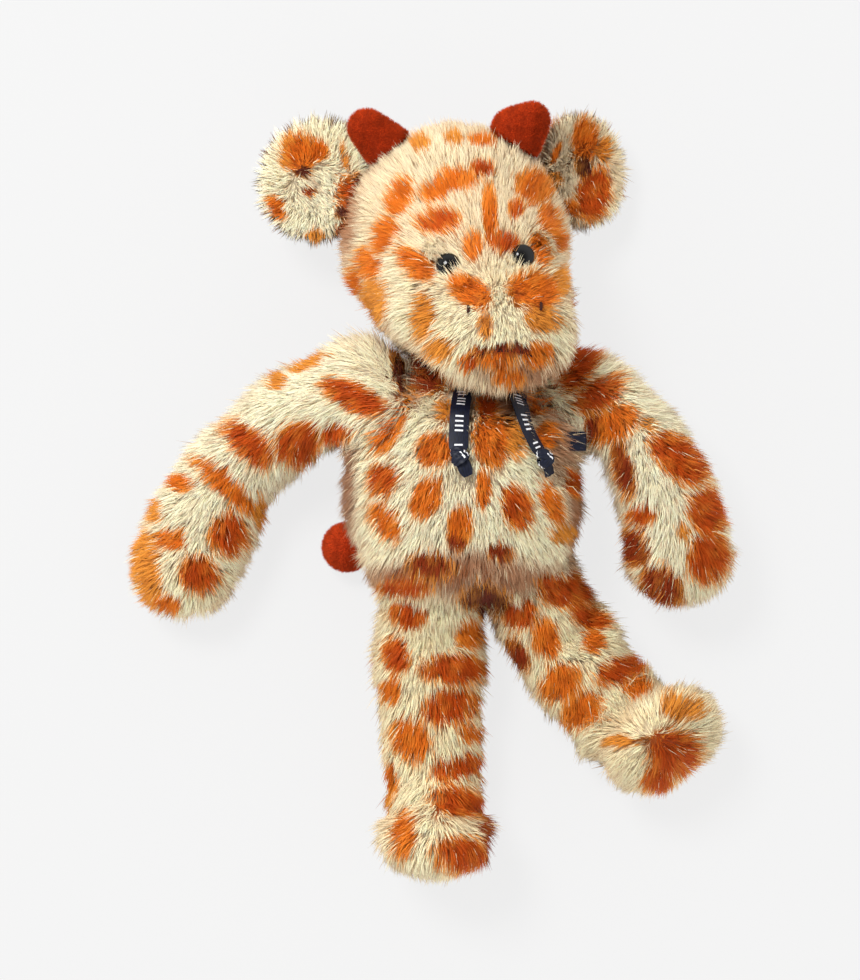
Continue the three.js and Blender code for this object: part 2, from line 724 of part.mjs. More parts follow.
// Ears: each panel is a cupped pad, thick in the middle and thin at the seam round its edge
function earPad(front, back, frame, inset) {
  const rings = earRings;
  const sides = torsoSides;
  const points = [];
  const faces = [];
  const height = (share, thickness) => earCup * (share ** 2 - 1)
    + thickness * Math.sqrt(1 - share ** 4);
  const add = (share, turn, thickness) => points.push(new THREE.Vector3(
    Math.cos(turn) * share * (earHalfLength - inset),
    Math.sin(turn) * share * (earHalfWidth - inset),
    height(share, thickness),
  ).applyMatrix4(frame));
  add(0, 0, front);
  for (let ring = 1; ring <= rings * 2 - 1; ring += 1) {
    const upper = ring <= rings;
    const share = Math.sin((upper ? ring : rings * 2 - ring) / rings * Math.PI / 2);
    for (let j = 0; j < sides; j += 1) add(share, (j / sides) * Math.PI * 2, upper ? front : back);
  }
  add(0, 0, back);
  const last = points.length - 1;
  for (let j = 0; j < sides; j += 1) {
    const next = (j + 1) % sides;
    faces.push(0, 1 + j, 1 + next);
    faces.push(last, last - sides + next, last - sides + j);
    for (let ring = 0; ring < rings * 2 - 2; ring += 1) {
      const near = 1 + ring * sides;
      const far = near + sides;
      faces.push(near + j, far + j, near + next, near + next, far + j, far + next);
    }
  }
  const geometry = new THREE.BufferGeometry().setFromPoints(points);
  geometry.setIndex(faces);
  return geometry;
}
function ear(side, pixel, heightOfEar, tiltOfEar, pull, neighbours) {
  const tilt = THREE.MathUtils.degToRad(tiltOfEar);
  const out = new THREE.Vector3(Math.sin(tilt), 0, Math.cos(tilt));
  const along = new THREE.Vector3(pull[0], pull[1], -pull[0] * Math.tan(tilt)).normalize();
  const across = out.clone().cross(along);
  const centre = place(pixel, heightOfEar);
  const frame = new THREE.Matrix4().makeBasis(along, across, out).setPosition(centre);
  const hinge = centre.clone().addScaledVector(along, -earHalfLength * earHingeShare);
  const hingeAxis = across.clone().negate();
  const room = roomAt(earFlap[side], [headForms(-gap)[0], ...neighbours], hinge, hingeAxis);
  const innerPad = solidOf(earPad(earInnerThickness, gap / 2, frame, gap));
  const outerPad = solidOf(earPad(-gap / 2, -earOuterThickness, frame, 0));
  addPiece(`ear_${side}_inner`, innerPad.subtract(room), creamFur);
  addPiece(`ear_${side}_outer`, outerPad.subtract(room), creamFur);
}
ear('right', rightEarPixel, rightEarHeight, rightEarTilt, rightEarPull, [softForm(rightHorn, -gap)]);
ear('left', leftEarPixel, leftEarHeight, leftEarTilt, leftEarPull, []);

// Ribbon: a band round the neck with a knot under the chin, and two knotted ends on the chest
const torsoSurface = new THREE.Mesh(torsoForm, creamFur);
function strap(points, ups, crosswise) {
  const corners = [];
  const faces = [];
  points.forEach((point, k) => {
    const along = points[Math.min(k + 1, points.length - 1)].clone().sub(points[Math.max(k - 1, 0)]);
    const side = crosswise ?? along.cross(ups[k]).normalize();
    const up = ups[k];
    [[1, 1], [-1, 1], [-1, -1], [1, -1]].forEach(([wide, high]) => corners.push(point.clone()
      .addScaledVector(side, wide * ribbonWidth / 2)
      .addScaledVector(up, high * ribbonThickness / 2)));
  });
  const last = corners.length - 4;
  faces.push(0, 1, 2, 0, 2, 3, last, last + 2, last + 1, last, last + 3, last + 2);
  for (let k = 0; k < points.length - 1; k += 1) {
    for (let j = 0; j < 4; j += 1) {
      const near = k * 4 + j;
      const next = k * 4 + ((j + 1) % 4);
      faces.push(near, near + 4, next, next, near + 4, next + 4);
    }
  }
  const geometry = new THREE.BufferGeometry().setFromPoints(corners);
  geometry.setIndex(faces);
  return solidOf(geometry);
}
function onChest(pixel) {
  let at = place(pixel, chestHeight);
  at = place(pixel, drop(torsoSurface, at.x, at.y).z);
  const found = drop(torsoSurface, at.x, at.y);
  const up = facing(torsoSurface, found, ribbonWidth / 2);
  return { point: found.addScaledVector(up, ribbonLift + ribbonThickness / 2), up };
}
const bandProfile = [
  [bandInner, -ribbonWidth / 2], [bandInner + ribbonThickness, -ribbonWidth / 2],
  [bandInner + ribbonThickness, ribbonWidth / 2], [bandInner, ribbonWidth / 2],
  [bandInner, -ribbonWidth / 2],
];
const band = lathe(bandProfile, bandCentre, yAxis);
const bandKnotCentre = place(bandKnotPixel, neckHeight + bandInner);
bandKnotCentre.z = neckHeight + Math.sqrt((bandInner + bandKnotRise) ** 2
  - (bandKnotCentre.x - neckCentre.x) ** 2);
const knot = (centre, [wide, long, high]) => solidOf(
  oval(centre, [wide, high, long], 0, knotSides, knotRings));
const roots = [];
[['right', rightRibbonPixels, rightRibbonTipPixel], ['left', leftRibbonPixels, leftRibbonTipPixel]]
  .forEach(([side, pixels, tipPixel]) => {
    const laid = [...pixels, tipPixel].map(onChest);
    const start = laid[0];
    const way = laid[1].point.clone().sub(start.point).normalize();
    const rootEnd = start.point.clone().addScaledVector(way, -gap - ribbonThickness / 2);
    const rootPoints = bandRootShares.map((share) => bandKnotCentre.clone().lerp(rootEnd, share));
    roots.push(strap(rootPoints, rootPoints.map(() => start.up), way.clone().cross(start.up).normalize()));
    const knotAt = laid[laid.length - 2];
    const endKnot = knot(knotAt.point.clone().addScaledVector(knotAt.up, endKnotRadii[2]), endKnotRadii);
    addPiece(`ribbon_end_${side}`, strap(laid.map(({ point }) => point), laid.map(({ up }) => up))
      .add(endKnot).subtract(solidOf(softForm(torso, -gap))), navySatin);
  });
addPiece('ribbon_band', joined([band, knot(bandKnotCentre, bandKnotRadii), ...roots]), navySatin);

export default group;
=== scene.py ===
# A plush giraffe of long pile fur, lying on its back, seen from straight above.
# Metres, +Z up from the surface it lies on, +Y towards the head, +X towards its left side.
import json
import math

import bmesh
import bpy
import numpy as np
from mathutils import Matrix, Vector
from mathutils.bvhtree import BVHTree
from mathutils.kdtree import KDTree

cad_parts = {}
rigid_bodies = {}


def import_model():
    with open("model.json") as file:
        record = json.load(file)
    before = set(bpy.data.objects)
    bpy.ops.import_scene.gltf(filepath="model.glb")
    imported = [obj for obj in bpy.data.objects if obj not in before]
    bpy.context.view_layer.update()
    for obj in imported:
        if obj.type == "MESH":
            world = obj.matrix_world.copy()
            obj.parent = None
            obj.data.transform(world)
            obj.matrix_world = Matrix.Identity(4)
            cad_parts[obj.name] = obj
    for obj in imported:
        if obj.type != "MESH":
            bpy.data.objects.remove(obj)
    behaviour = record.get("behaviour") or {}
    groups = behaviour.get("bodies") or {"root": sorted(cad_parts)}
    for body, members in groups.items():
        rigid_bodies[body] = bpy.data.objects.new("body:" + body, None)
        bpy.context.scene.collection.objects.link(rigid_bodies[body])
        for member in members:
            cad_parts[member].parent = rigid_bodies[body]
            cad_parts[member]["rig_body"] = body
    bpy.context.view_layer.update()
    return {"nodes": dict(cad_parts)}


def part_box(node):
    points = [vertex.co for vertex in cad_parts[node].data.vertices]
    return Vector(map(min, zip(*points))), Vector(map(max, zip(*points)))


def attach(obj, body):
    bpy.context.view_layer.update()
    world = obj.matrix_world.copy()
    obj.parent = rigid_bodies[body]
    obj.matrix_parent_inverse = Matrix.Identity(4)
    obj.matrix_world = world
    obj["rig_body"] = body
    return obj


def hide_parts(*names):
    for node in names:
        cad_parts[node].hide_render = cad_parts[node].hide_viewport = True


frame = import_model()

# The camera hangs 1.5 m above the toy's middle and looks straight down, as a copy stand holds it.
# A pixel of the 860 by 980 picture is 0.52 mm wide 50 mm above the surface.
PIXEL = 0.00052
FOCUS_HEIGHT = 0.050
LENS_DISTANCE = 1.5
CLIP_START = 0.01
LENS_PIXEL = (430, 490)
ORIGIN_PIXEL = (465, 485)
FRAME_HEIGHT = 980
lens = Vector((
    (LENS_PIXEL[0] - ORIGIN_PIXEL[0]) * PIXEL,
    (ORIGIN_PIXEL[1] - LENS_PIXEL[1]) * PIXEL,
    FOCUS_HEIGHT + LENS_DISTANCE,
))

bpy.ops.object.select_all(action="DESELECT")
bpy.ops.object.camera_add(location=lens, rotation=(0, 0, 0))
camera = bpy.context.object
camera.name = "copy_stand_camera"
camera.data.sensor_fit = "VERTICAL"
camera.data.angle = 2 * math.atan(FRAME_HEIGHT * PIXEL / 2 / LENS_DISTANCE)
camera.data.clip_start = CLIP_START
bpy.context.scene.camera = camera
bpy.context.scene.view_settings.view_transform = "Standard"


def picture_places(points):
    """The pixel of the picture at which each point, an array of rows, is seen."""
    nearness = LENS_DISTANCE / (lens.z - points[:, 2])
    return np.column_stack((
        LENS_PIXEL[0] + (points[:, 0] - lens.x) / PIXEL * nearness,
        LENS_PIXEL[1] - (points[:, 1] - lens.y) / PIXEL * nearness,
    ))


def seen_at(tree, pixel):
    """Where the line of sight through a pixel first meets a surface, and that place's normal."""
    aim = Vector((
        (pixel[0] - LENS_PIXEL[0]) * PIXEL,
        (LENS_PIXEL[1] - pixel[1]) * PIXEL,
        -LENS_DISTANCE,
    )).normalized()
    return tree.ray_cast(lens, aim)[:2]


def linear(code):
    """The linear value of an sRGB colour written as hex, with an alpha of 1."""
    parts = [int(code[k:k + 2], 16) / 255 for k in (1, 3, 5)]
    return [c / 12.92 if c <= 0.04045 else ((c + 0.055) / 1.055) ** 2.4 for c in parts] + [1.0]


def new_material(name):
    """A node material, its node tree and its shader."""
    material = bpy.data.materials.new(name)
    material.use_nodes = True
    return material, material.node_tree, material.node_tree.nodes["Principled BSDF"]


def add_node(tree, kind, links=None, **settings):
    """Adds a node, sets its properties or input values, and links its inputs to other sockets."""
    node = tree.nodes.new(kind)
    for key, value in settings.items():
        if hasattr(node, key):
            setattr(node, key, value)
        else:
            node.inputs[key.replace("_", " ")].default_value = value
    for key, socket in (links or {}).items():
        tree.links.new(socket, node.inputs[key])
    return node


# Studio: a matt white paper sweep, one large soft light from the upper left and an even fill.
# The paper shows its own glow to the camera and to reflections, and still takes the faint shadow.
PAPER_WIDTH = 16
PAPER_GLOW = 0.9
SOFT_BOX_PLACE = (-0.95, 1.1, 2.3)
SOFT_BOX_AIM = (0.6, -0.7, -1.4)
SOFT_BOX_WIDTH = 0.8
SOFT_BOX_WATTS = 55
WALL_STRENGTH = 1.3
bpy.ops.mesh.primitive_plane_add(size=PAPER_WIDTH, location=(0, 0, 0))
paper = bpy.context.object
paper.name = "paper_sweep"
paper_material, tree, shader = new_material("matt_paper")
shader.inputs["Base Color"].default_value = linear("#f4f4f4")
shader.inputs["Roughness"].default_value = 0.9
path = add_node(tree, "ShaderNodeLightPath")
seen = path.outputs["Is Camera Ray"]
for ray in ("Is Glossy Ray", "Is Transmission Ray"):
    either = {0: seen, 1: path.outputs[ray]}
    seen = add_node(tree, "ShaderNodeMath", either, operation="MAXIMUM").outputs[0]
share = add_node(tree, "ShaderNodeMath", {0: seen}, operation="MULTIPLY")
share.inputs[1].default_value = PAPER_GLOW
glow = add_node(tree, "ShaderNodeEmission", Color=linear("#f0f0f0"), Strength=1.0)
mixed = add_node(tree, "ShaderNodeMixShader", {
    0: share.outputs[0], 1: shader.outputs[0], 2: glow.outputs[0],
})
tree.links.new(mixed.outputs[0], tree.nodes["Material Output"].inputs["Surface"])
paper.data.materials.append(paper_material)

world = bpy.data.worlds.new("studio")
bpy.context.scene.world = world
world.use_nodes = True
tree = world.node_tree
height = add_node(tree, "ShaderNodeSeparateXYZ", {
    0: add_node(tree, "ShaderNodeTexCoord").outputs["Generated"],
})
walls = add_node(tree, "ShaderNodeValToRGB", {0: height.outputs["Z"]})
for end, position, code in ((0, 0.5, "#ffffff"), (1, 0.95, "#868686")):
    walls.color_ramp.elements[end].color = linear(code)
    walls.color_ramp.elements[end].position = position
tree.links.new(walls.outputs["Color"], tree.nodes["Background"].inputs["Color"])
tree.nodes["Background"].inputs["Strength"].default_value = WALL_STRENGTH

bpy.ops.object.light_add(type="AREA", location=SOFT_BOX_PLACE)
key_light = bpy.context.object
key_light.name = "soft_box"
key_light.data.size = SOFT_BOX_WIDTH
key_light.data.energy = SOFT_BOX_WATTS
key_light.rotation_euler = Vector(SOFT_BOX_AIM).to_track_quat("-Z", "Y").to_euler()

# Body: panels of long pile fur fabric, an acrylic pile knitted into a soft backing, sewn inside
# out, turned and stuffed. The backing lies about half a pile's length inside the toy's outline,
# and every lock of the pile stands on it, combed down the belly.
PANEL_VOXEL = 0.003
BACKING_DEPTH = 0.0072
SEAM_DEPTH = 0.0012
SEAM_REACH = (0.0015, 0.012)
DOUBLES = 0.00001
LOWEST_FABRIC = 0.001
CREAM = "#fff5d2"
# Painted shade: the deep rust that darkens the roots of the pile and the backing under it.
DEEP_PILE_SHADE = "#984010"
# Painted shade: tan, mixed in at this share where a form's surface turns to the side.
SIDE_SHADE = "#c08a5c"
SIDE_SHADE_SHARE = 0.5
# Tones of the spots. The darkest, plum-coloured one lies only in creases and hollows, as painted
# shade; dark is the print's darkest rust, and painted shade too where it runs along a crease.
COAT_TONES = {
    "gold": "#eb9a3c", "orange": "#e07318", "rust": "#c44f08", "dark": "#8f3410", "plum": "#57261c",
}
# Washes over the cream. Shade and the darker brown wash after it are painted shade on the sides,
# under the chin and head and between the legs; wash darkens the cream, and pale and honey lighten it.
TONE_AND_SHADE_WASHES = {
    "wash": ("#a8633a", 0.24), "shade": ("#9c562a", 0.82), "dusk": ("#8a4622", 0.8),
    "pale": ("#fff8dc", 0.6), "honey": ("#ffeec4", 0.6),
}
SPOT_SPREAD = 1.16
MOTTLE = 0.4


def surface_of(node):
    """The surface of a CAD node, to measure from."""
    mesh = frame["nodes"][node].data
    return BVHTree.FromPolygons([v.co for v in mesh.vertices], [p.vertices for p in mesh.polygons])


def seam_shares(form, neighbours):
    """How far each vertex lies from the pieces it is sewn to: 0 at a seam and 1 well clear of it."""
    shares = np.ones(len(form.data.vertices))
    for node in neighbours:
        surface = surface_of(node)
        away = [surface.find_nearest(v.co)[3] for v in form.data.vertices]
        shares = np.minimum(shares, ramp(np.array(away), *SEAM_REACH))
    return shares


def apply_modifier(form, kind, **settings):
    """Adds a modifier with its settings to a form and applies it."""
    modifier = form.modifiers.new(kind.lower(), kind)
    for key, value in settings.items():
        setattr(modifier, key, value)
    bpy.context.view_layer.objects.active = form
    bpy.ops.object.modifier_apply(modifier=modifier.name)


def sewn_form(name, nodes, voxel, inset, rounds=8, neighbours=(), trims=(), swells=()):
    """A closed smooth form round copies of CAD nodes, drawn in less at its seams and trimmed places."""
    bpy.ops.object.select_all(action="DESELECT")
    for node in nodes:
        part = frame["nodes"][node].copy()
        part.data = part.data.copy()
        part.parent = None
        part.hide_render = False
        for key in list(part.keys()):
            del part[key]
        bpy.context.scene.collection.objects.link(part)
        part.hide_viewport = False
        part.select_set(True)
        bpy.context.view_layer.objects.active = part
    if len(nodes) > 1:
        bpy.ops.object.join()
    form = bpy.context.object
    form.data.materials.clear()
    bpy.ops.object.mode_set(mode="EDIT")
    bpy.ops.mesh.select_all(action="SELECT")
    bpy.ops.mesh.remove_doubles(threshold=DOUBLES)
    bpy.ops.object.mode_set(mode="OBJECT")
    apply_modifier(form, "REMESH", mode="VOXEL", voxel_size=voxel)
    bpy.ops.object.mode_set(mode="EDIT")
    bpy.ops.mesh.separate(type="LOOSE")
    bpy.ops.object.mode_set(mode="OBJECT")
    shells = sorted(bpy.context.selected_objects, key=lambda o: len(o.data.vertices))
    for inner in shells[:-1]:
        bpy.data.objects.remove(inner)
    form = shells[-1]
    form.name = name
    apply_modifier(form, "SMOOTH", iterations=rounds)
    group = form.vertex_groups.new(name="clear_of_seams")
    places, _, _ = mesh_rows(form)
    shares = seam_shares(form, neighbours) * short_near(places, trims)
    for k, share in enumerate(shares):
        group.add([k], float(share + (1 - share) * min(1, SEAM_DEPTH / inset)), "REPLACE")
    apply_modifier(form, "DISPLACE", mid_level=0, strength=-inset, vertex_group=group.name)
    for x, y, reach, height in swells:
        places, normals, _ = mesh_rows(form)
        distance = np.linalg.norm(picture_places(places) - [x, y], axis=1)
        places += normals * (height * ramp(distance, reach, 0))[:, None]
        places[:, 2] = np.maximum(places[:, 2], LOWEST_FABRIC)
        form.data.vertices.foreach_set("co", places.ravel())
        form.data.update()
    bpy.ops.object.shade_smooth()
    return form


def mesh_rows(form):
    """The places and normals of a form's vertices and the vertices of its triangles."""
    mesh = form.data
    mesh.calc_loop_triangles()
    places = np.empty(len(mesh.vertices) * 3)
    normals = np.empty(len(mesh.vertices) * 3)
    triangles = np.empty(len(mesh.loop_triangles) * 3, int)
    mesh.vertices.foreach_get("co", places)
    mesh.vertices.foreach_get("normal", normals)
    mesh.loop_triangles.foreach_get("vertices", triangles)
    return places.reshape(-1, 3), normals.reshape(-1, 3), triangles.reshape(-1, 3)


def unit(rows):
    """Each row at length 1."""
    return rows / np.maximum(np.linalg.norm(rows, axis=1, keepdims=True), 1e-9)


def rgb(code):
    """The linear value of a colour, without its alpha, for an attribute."""
    return np.array(linear(code)[:3])


def ramp(values, low, high):
    """A smooth rise from 0 at low to 1 at high, or the reverse where high is the smaller."""
    share = np.clip((values - low) / (high - low), 0, 1)
    return share * share * (3 - 2 * share)


def back_spots(form, seed, spacing):
    """Seeded spots for the sides and the back, which the picture doesn't show."""
    chance = np.random.default_rng(seed)
    places, normals, _ = mesh_rows(form)
    spots = []
    for k in chance.permutation(len(places)):
        if normals[k, 2] > 0.15 or any(np.linalg.norm(places[k] - s[0]) < spacing for s in spots):
            continue
        tone = ("orange", "rust", "rust", "gold")[chance.integers(4)]
        axis = unit(chance.normal(size=(1, 3)))[0]
        spots.append((places[k], chance.uniform(0.0085, 0.0135), axis, chance.uniform(0.6, 1.5), tone))
    return spots


def mottled(points, first, second):
    """Soft patches a few millimetres wide: two waves through space, multiplied."""
    return np.sin(points @ np.array(first)) * np.sin(points @ np.array(second))


def coat_colours(points, normals, spots, hidden, waver):
    """The linear colour of the coat: cream, turned tan at its sides as painted shade, with spots golden at
    their rims.
    """
    pixels = picture_places(points)
    # Painted shade: the cream turns tan where the surface turns to the side.
    side = ramp(normals[:, 2], 0.8, 0.0)[:, None] * SIDE_SHADE_SHARE
    coat = rgb(CREAM) * (1 - side) + rgb(SIDE_SHADE) * side
    masks = []
    for x, y, wide, high, turn, tone in spots:
        angle = math.radians(turn)
        across = pixels[:, 0] - x
        up = y - pixels[:, 1]
        along = (across * math.cos(angle) + up * math.sin(angle)) / wide / SPOT_SPREAD
        aside = (up * math.cos(angle) - across * math.sin(angle)) / high / SPOT_SPREAD
        distance = np.hypot(along, aside) + waver
        if tone in TONE_AND_SHADE_WASHES:
            code, strength = TONE_AND_SHADE_WASHES[tone]
            share = ramp(distance, 1.35, 0.3)[:, None] * strength
            coat = coat * (1 - share) + rgb(code) * share
        else:
            masks.append((ramp(distance, 1.3, 0.67) * ramp(normals[:, 2], -0.4, -0.1), tone))
    for place, radius, axis, stretch, tone in hidden:
        away = points - place
        along = away @ axis
        distance = np.sqrt(np.maximum((away ** 2).sum(1) + (stretch ** 2 - 1) * along ** 2, 0))
        masks.append((ramp(distance / radius + waver, 1.3, 0.7) * ramp(normals[:, 2], 0.12, -0.15), tone))
    strongest = np.zeros(len(points))
    tones = np.tile(rgb(COAT_TONES["orange"]), (len(points), 1))
    for mask, tone in masks:
        tones[mask > strongest] = rgb(COAT_TONES[tone])
        strongest = np.maximum(strongest, mask)
    patches = mottled(points, (310.0, 190.0, 240.0), (-170.0, 330.0, 210.0))
    for tone, share in (("gold", np.maximum(patches, 0)), ("dark", np.maximum(-patches, 0))):
        tones += (rgb(COAT_TONES[tone]) - tones) * MOTTLE * share[:, None]
    rim = ramp(strongest, 0.05, 0.5)[:, None]
    core = ramp(strongest, 0.4, 0.95)[:, None]
    return (coat * (1 - rim) + rgb(COAT_TONES["gold"]) * rim) * (1 - core) + tones * core


def combing(points, normals, arrows):
    """The way in which the pile lies at each point, from arrows on the picture, along the skin."""
    pixels = picture_places(points)
    way = np.zeros((len(points), 3))
    total = np.zeros(len(points))
    for x, y, degrees in arrows:
        angle = math.radians(degrees)
        weight = ((pixels[:, 0] - x) ** 2 + (pixels[:, 1] - y) ** 2 + ARROW_BLUR) ** -1.5
        way[:, 0] += weight * math.cos(angle)
        way[:, 1] += weight * math.sin(angle)
        total += weight
    firm = np.minimum(1, np.linalg.norm(way, axis=1) / total * ARROW_FIRMNESS)
    way = unit(way)
    way[:, 2] = -SIDE_DROOP * (1 - np.abs(normals[:, 2]))
    return unit(way - normals * (way * normals).sum(1, keepdims=True)) * firm[:, None]


def paint(form, name, colours):
    """Stores one colour a vertex as an attribute."""
    rows = np.column_stack((np.clip(colours, 0, 1), np.ones(len(colours))))
    layer = form.data.color_attributes.new(name, "FLOAT_COLOR", "POINT")
    layer.data.foreach_set("color", rows.astype(np.float32).ravel())


def short_near(points, clearings):
    """The share of its length that the pile has at each point, near eyes, seams and ribbon."""
    keep = np.ones(len(points))
    pixels = picture_places(points)
    for x, y, reach, share in clearings:
        distance = np.hypot(pixels[:, 0] - x, pixels[:, 1] - y)
        near = ramp(distance, reach * 1.5, reach * 0.7) * (points[:, 2] > UNTRIMMED_HEIGHT)
        if share < 1:
            keep = np.minimum(keep, 1 - near * (1 - share))
        else:
            keep = keep * (1 + near * (share - 1))
    return keep


def strewn_roots(form, count, chance, weigh):
    """Random points on a form and their normals, as dense as weigh makes the area of a triangle."""
    places, normals, triangles = mesh_rows(form)
    corners = places[triangles]
    edges = corners[:, 1:] - corners[:, :1]
    area = np.linalg.norm(np.cross(edges[:, 0], edges[:, 1]), axis=1)
    weight = weigh(area, corners.mean(1), unit(normals[triangles].mean(1)))
    picked = chance.choice(len(triangles), count, p=weight / weight.sum())
    share = np.sqrt(chance.random(count))[:, None]
    turn = chance.random(count)[:, None]
    blends = np.hstack((1 - share, share * (1 - turn), share * turn))[:, :, None]
    root = (corners[picked] * blends).sum(1)
    return root, unit((normals[triangles[picked]] * blends).sum(1))


def three_ways(aside, above):
    """Three directions at equal angles about each strand."""
    angles = [2 * math.pi * k / 3 for k in range(3)]
    return [aside * math.cos(angle) + above * math.sin(angle) for angle in angles]


def strand_mesh(name, vertices, leaning, colours, pattern, cells, material):
    """A piece of many small closed strands with the same triangles, each in its own UV square."""
    count, corners, _ = vertices.shape
    vertices[:, :, 2] = np.maximum(vertices[:, :, 2], LOWEST_POINT)
    faces = (np.array(pattern) + corners * np.arange(count)[:, None, None]).reshape(-1, 3)
    mesh = bpy.data.meshes.new(name)
    mesh.vertices.add(count * corners)
    mesh.vertices.foreach_set("co", vertices.ravel())
    mesh.loops.add(len(faces) * 3)
    mesh.loops.foreach_set("vertex_index", faces.ravel())
    mesh.polygons.add(len(faces))
    mesh.polygons.foreach_set("loop_start", np.arange(len(faces)) * 3)
    mesh.update(calc_edges=True)
    columns = math.ceil(math.sqrt(count))
    square = np.column_stack((np.arange(count) % columns, np.arange(count) // columns))[:, None]
    atlas = mesh.uv_layers.new(name="OFBake")
    cells = np.array(cells).reshape(1, -1, 2)
    atlas.data.foreach_set("uv", ((square + 0.06 + cells * 0.88) / columns).ravel())
    piece = bpy.data.objects.new(name, mesh)
    bpy.context.scene.collection.objects.link(piece)
    paint(piece, "Coat", colours.reshape(-1, 3))
    mesh.polygons.foreach_set("use_smooth", np.ones(len(faces), bool))
    mesh.normals_split_custom_set_from_vertices(leaning.reshape(-1, 3))
    mesh.materials.append(material)
    return piece


ARROW_BLUR = 60
ARROW_FIRMNESS = 2.5
SIDE_DROOP = 0.35
UNTRIMMED_HEIGHT = 0.03
PILE_LENGTH = 0.0128
PILE_WIDTH = 0.00044
BACK_WIDTH = 0.0008
PILE_LIFT = 0.58
LOCK_STRANDS = 8
GUARD_SHARE = 0.1
ROOT_SUNK = 0.0004
PAPER_GAP = 0.0003
LOWEST_POINT = 0.0001
FRONT_FACING = -0.3
STRAND_FACES = []
STRAND_CELLS = []
for k in range(3):
    near, far = k + 1, (k + 1) % 3 + 1
    left, right = k / 3 + 0.02, (k + 1) / 3 - 0.02
    STRAND_FACES += [(far, near, 0), (near, far, 4)]
    STRAND_CELLS += [(right, 0.48), (left, 0.48), ((left + right) / 2, 0)]
    STRAND_CELLS += [(left, 0.52), (right, 0.52), ((left + right) / 2, 1)]


def everywhere(place, facing):
    """All of a form."""
    return 1


def behind(place, facing):
    """The side that the toy lies on."""
    return facing[:, 2] <= FRONT_FACING


def in_front(above=-1, below=1, height=1):
    """The front and sides between two lines across the toy, up to a height."""
    return lambda place, facing: (
        (facing[:, 2] > FRONT_FACING) & (place[:, 1] > above) & (place[:, 1] <= below)
        & (place[:, 2] <= height)
    )


def grow_pile(name, count, seed, form, body, spots, hidden, arrows, length=PILE_LENGTH,
              width=PILE_WIDTH, lift=PILE_LIFT, where=everywhere, clearings=()):
    """A piece of pile: closed tapered strands in locks, bent over along the way it is combed."""
    chance = np.random.default_rng(seed)

    def weigh(area, middle, facing):
        """Denser where it is seen, and none where the piece doesn't grow."""
        return area * (0.55 + 0.45 * ramp(facing[:, 2], -0.5, 0.3)) * where(middle, facing)

    root, normal = strewn_roots(form, count, chance, weigh)
    way = combing(root, normal, arrows)
    keep = short_near(root, clearings)

    # Each strand belongs to the lock of the nearest of the first few roots.
    locks = KDTree(count // LOCK_STRANDS)
    for k in range(count // LOCK_STRANDS):
        locks.insert(root[k], k)
    locks.balance()
    lock = np.array([locks.find(point)[1] for point in root])
    lock_sway = chance.normal(0, 0.14, (count, 3))[lock]
    lock_length = chance.uniform(0.8, 1.15, count)[lock]
    lock_shade = chance.normal(0, 1, count)[lock]

    # A strand rises from its root, bends over half-way, and leans towards the tip of its lock. A
    # few stiffer guard hairs stand clear of the locks, and short pile near a trim lies pressed.
    guard = chance.random(count) < GUARD_SHARE
    size = length * keep * lock_length * chance.uniform(0.82, 1.1, count) * np.where(guard, 1.1, 1)
    pressed = ramp(keep, 0.52, 0.4)
    rise = (np.where(guard, lift + 0.1, lift) * (1 - 0.5 * pressed))[:, None]
    first = unit(normal * rise + way * (1 - lift) + lock_sway * 0.7 + chance.normal(0, 0.13, (count, 3)))
    second = unit(first * 0.75 + way * 0.62 + lock_sway * 0.5 + chance.normal(0, 0.12, (count, 3)))
    bend = root + first * (size * 0.5)[:, None]
    tip = bend + second * (size * 0.5)[:, None]
    gather = chance.uniform(0.1, 0.5, (count, 1)) * ~guard[:, None]
    bend += (bend[lock] - bend) * gather * 0.35
    tip += (tip[lock] - tip) * gather * 0.8
    for rows in (bend, tip):
        rows[:, 2] = np.maximum(rows[:, 2], PAPER_GAP)

    # Five points a strand: its root, three round its bend, and its tip.
    aside = unit(np.cross(first, normal + chance.normal(0, 0.3, (count, 3))))
    thick = (width * chance.uniform(0.75, 1.2, count) * (0.6 + 0.4 * keep))[:, None]
    vertices = np.empty((count, 5, 3))
    leaning = np.empty((count, 5, 3))
    for k, out in enumerate(three_ways(aside, np.cross(first, aside))):
        vertices[:, k + 1] = bend + out * thick * 0.5
        leaning[:, k + 1] = unit(out * 0.55 + normal * 0.75)
    vertices[:, 0] = root - normal * ROOT_SUNK
    vertices[:, 4] = tip
    leaning[:, 0] = normal
    leaning[:, 4] = unit(normal * 0.7 + second * 0.3)

    # Painted shade: each strand is darkened at its root and warmed along its middle, for the shade deep in
    # the pile.
    # Dark at the root and pale at the tip, with a few cream and a few brown strands anywhere.
    waver = chance.normal(0, 0.1, count) + lock_shade * 0.07
    colour = coat_colours(bend * 0.5 + tip * 0.5, normal, spots, hidden, waver)
    stray = chance.random(count)
    colour[stray < 0.01] = rgb(CREAM)
    brown = ((stray > 0.85) & (colour[:, 1] > 0.3))[:, None] * 0.5
    colour = colour * (1 - brown) + rgb(TONE_AND_SHADE_WASHES["shade"][0]) * brown
    shade = np.clip(1 + lock_shade * 0.05 + chance.normal(0, 0.05, count), 0.7, 1.25)[:, None]
    tinted = np.empty((count, 5, 3))
    tinted[:, 0] = (colour * 0.76 + rgb(DEEP_PILE_SHADE) * 0.17) * shade
    tinted[:, 1:4] = (colour * shade * np.array([1.02, 0.96, 0.86]))[:, None]
    tinted[:, 4] = colour * shade * 1.08
    piece = strand_mesh(name, vertices, leaning, tinted, STRAND_FACES, STRAND_CELLS, pile_material)
    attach(piece, body)


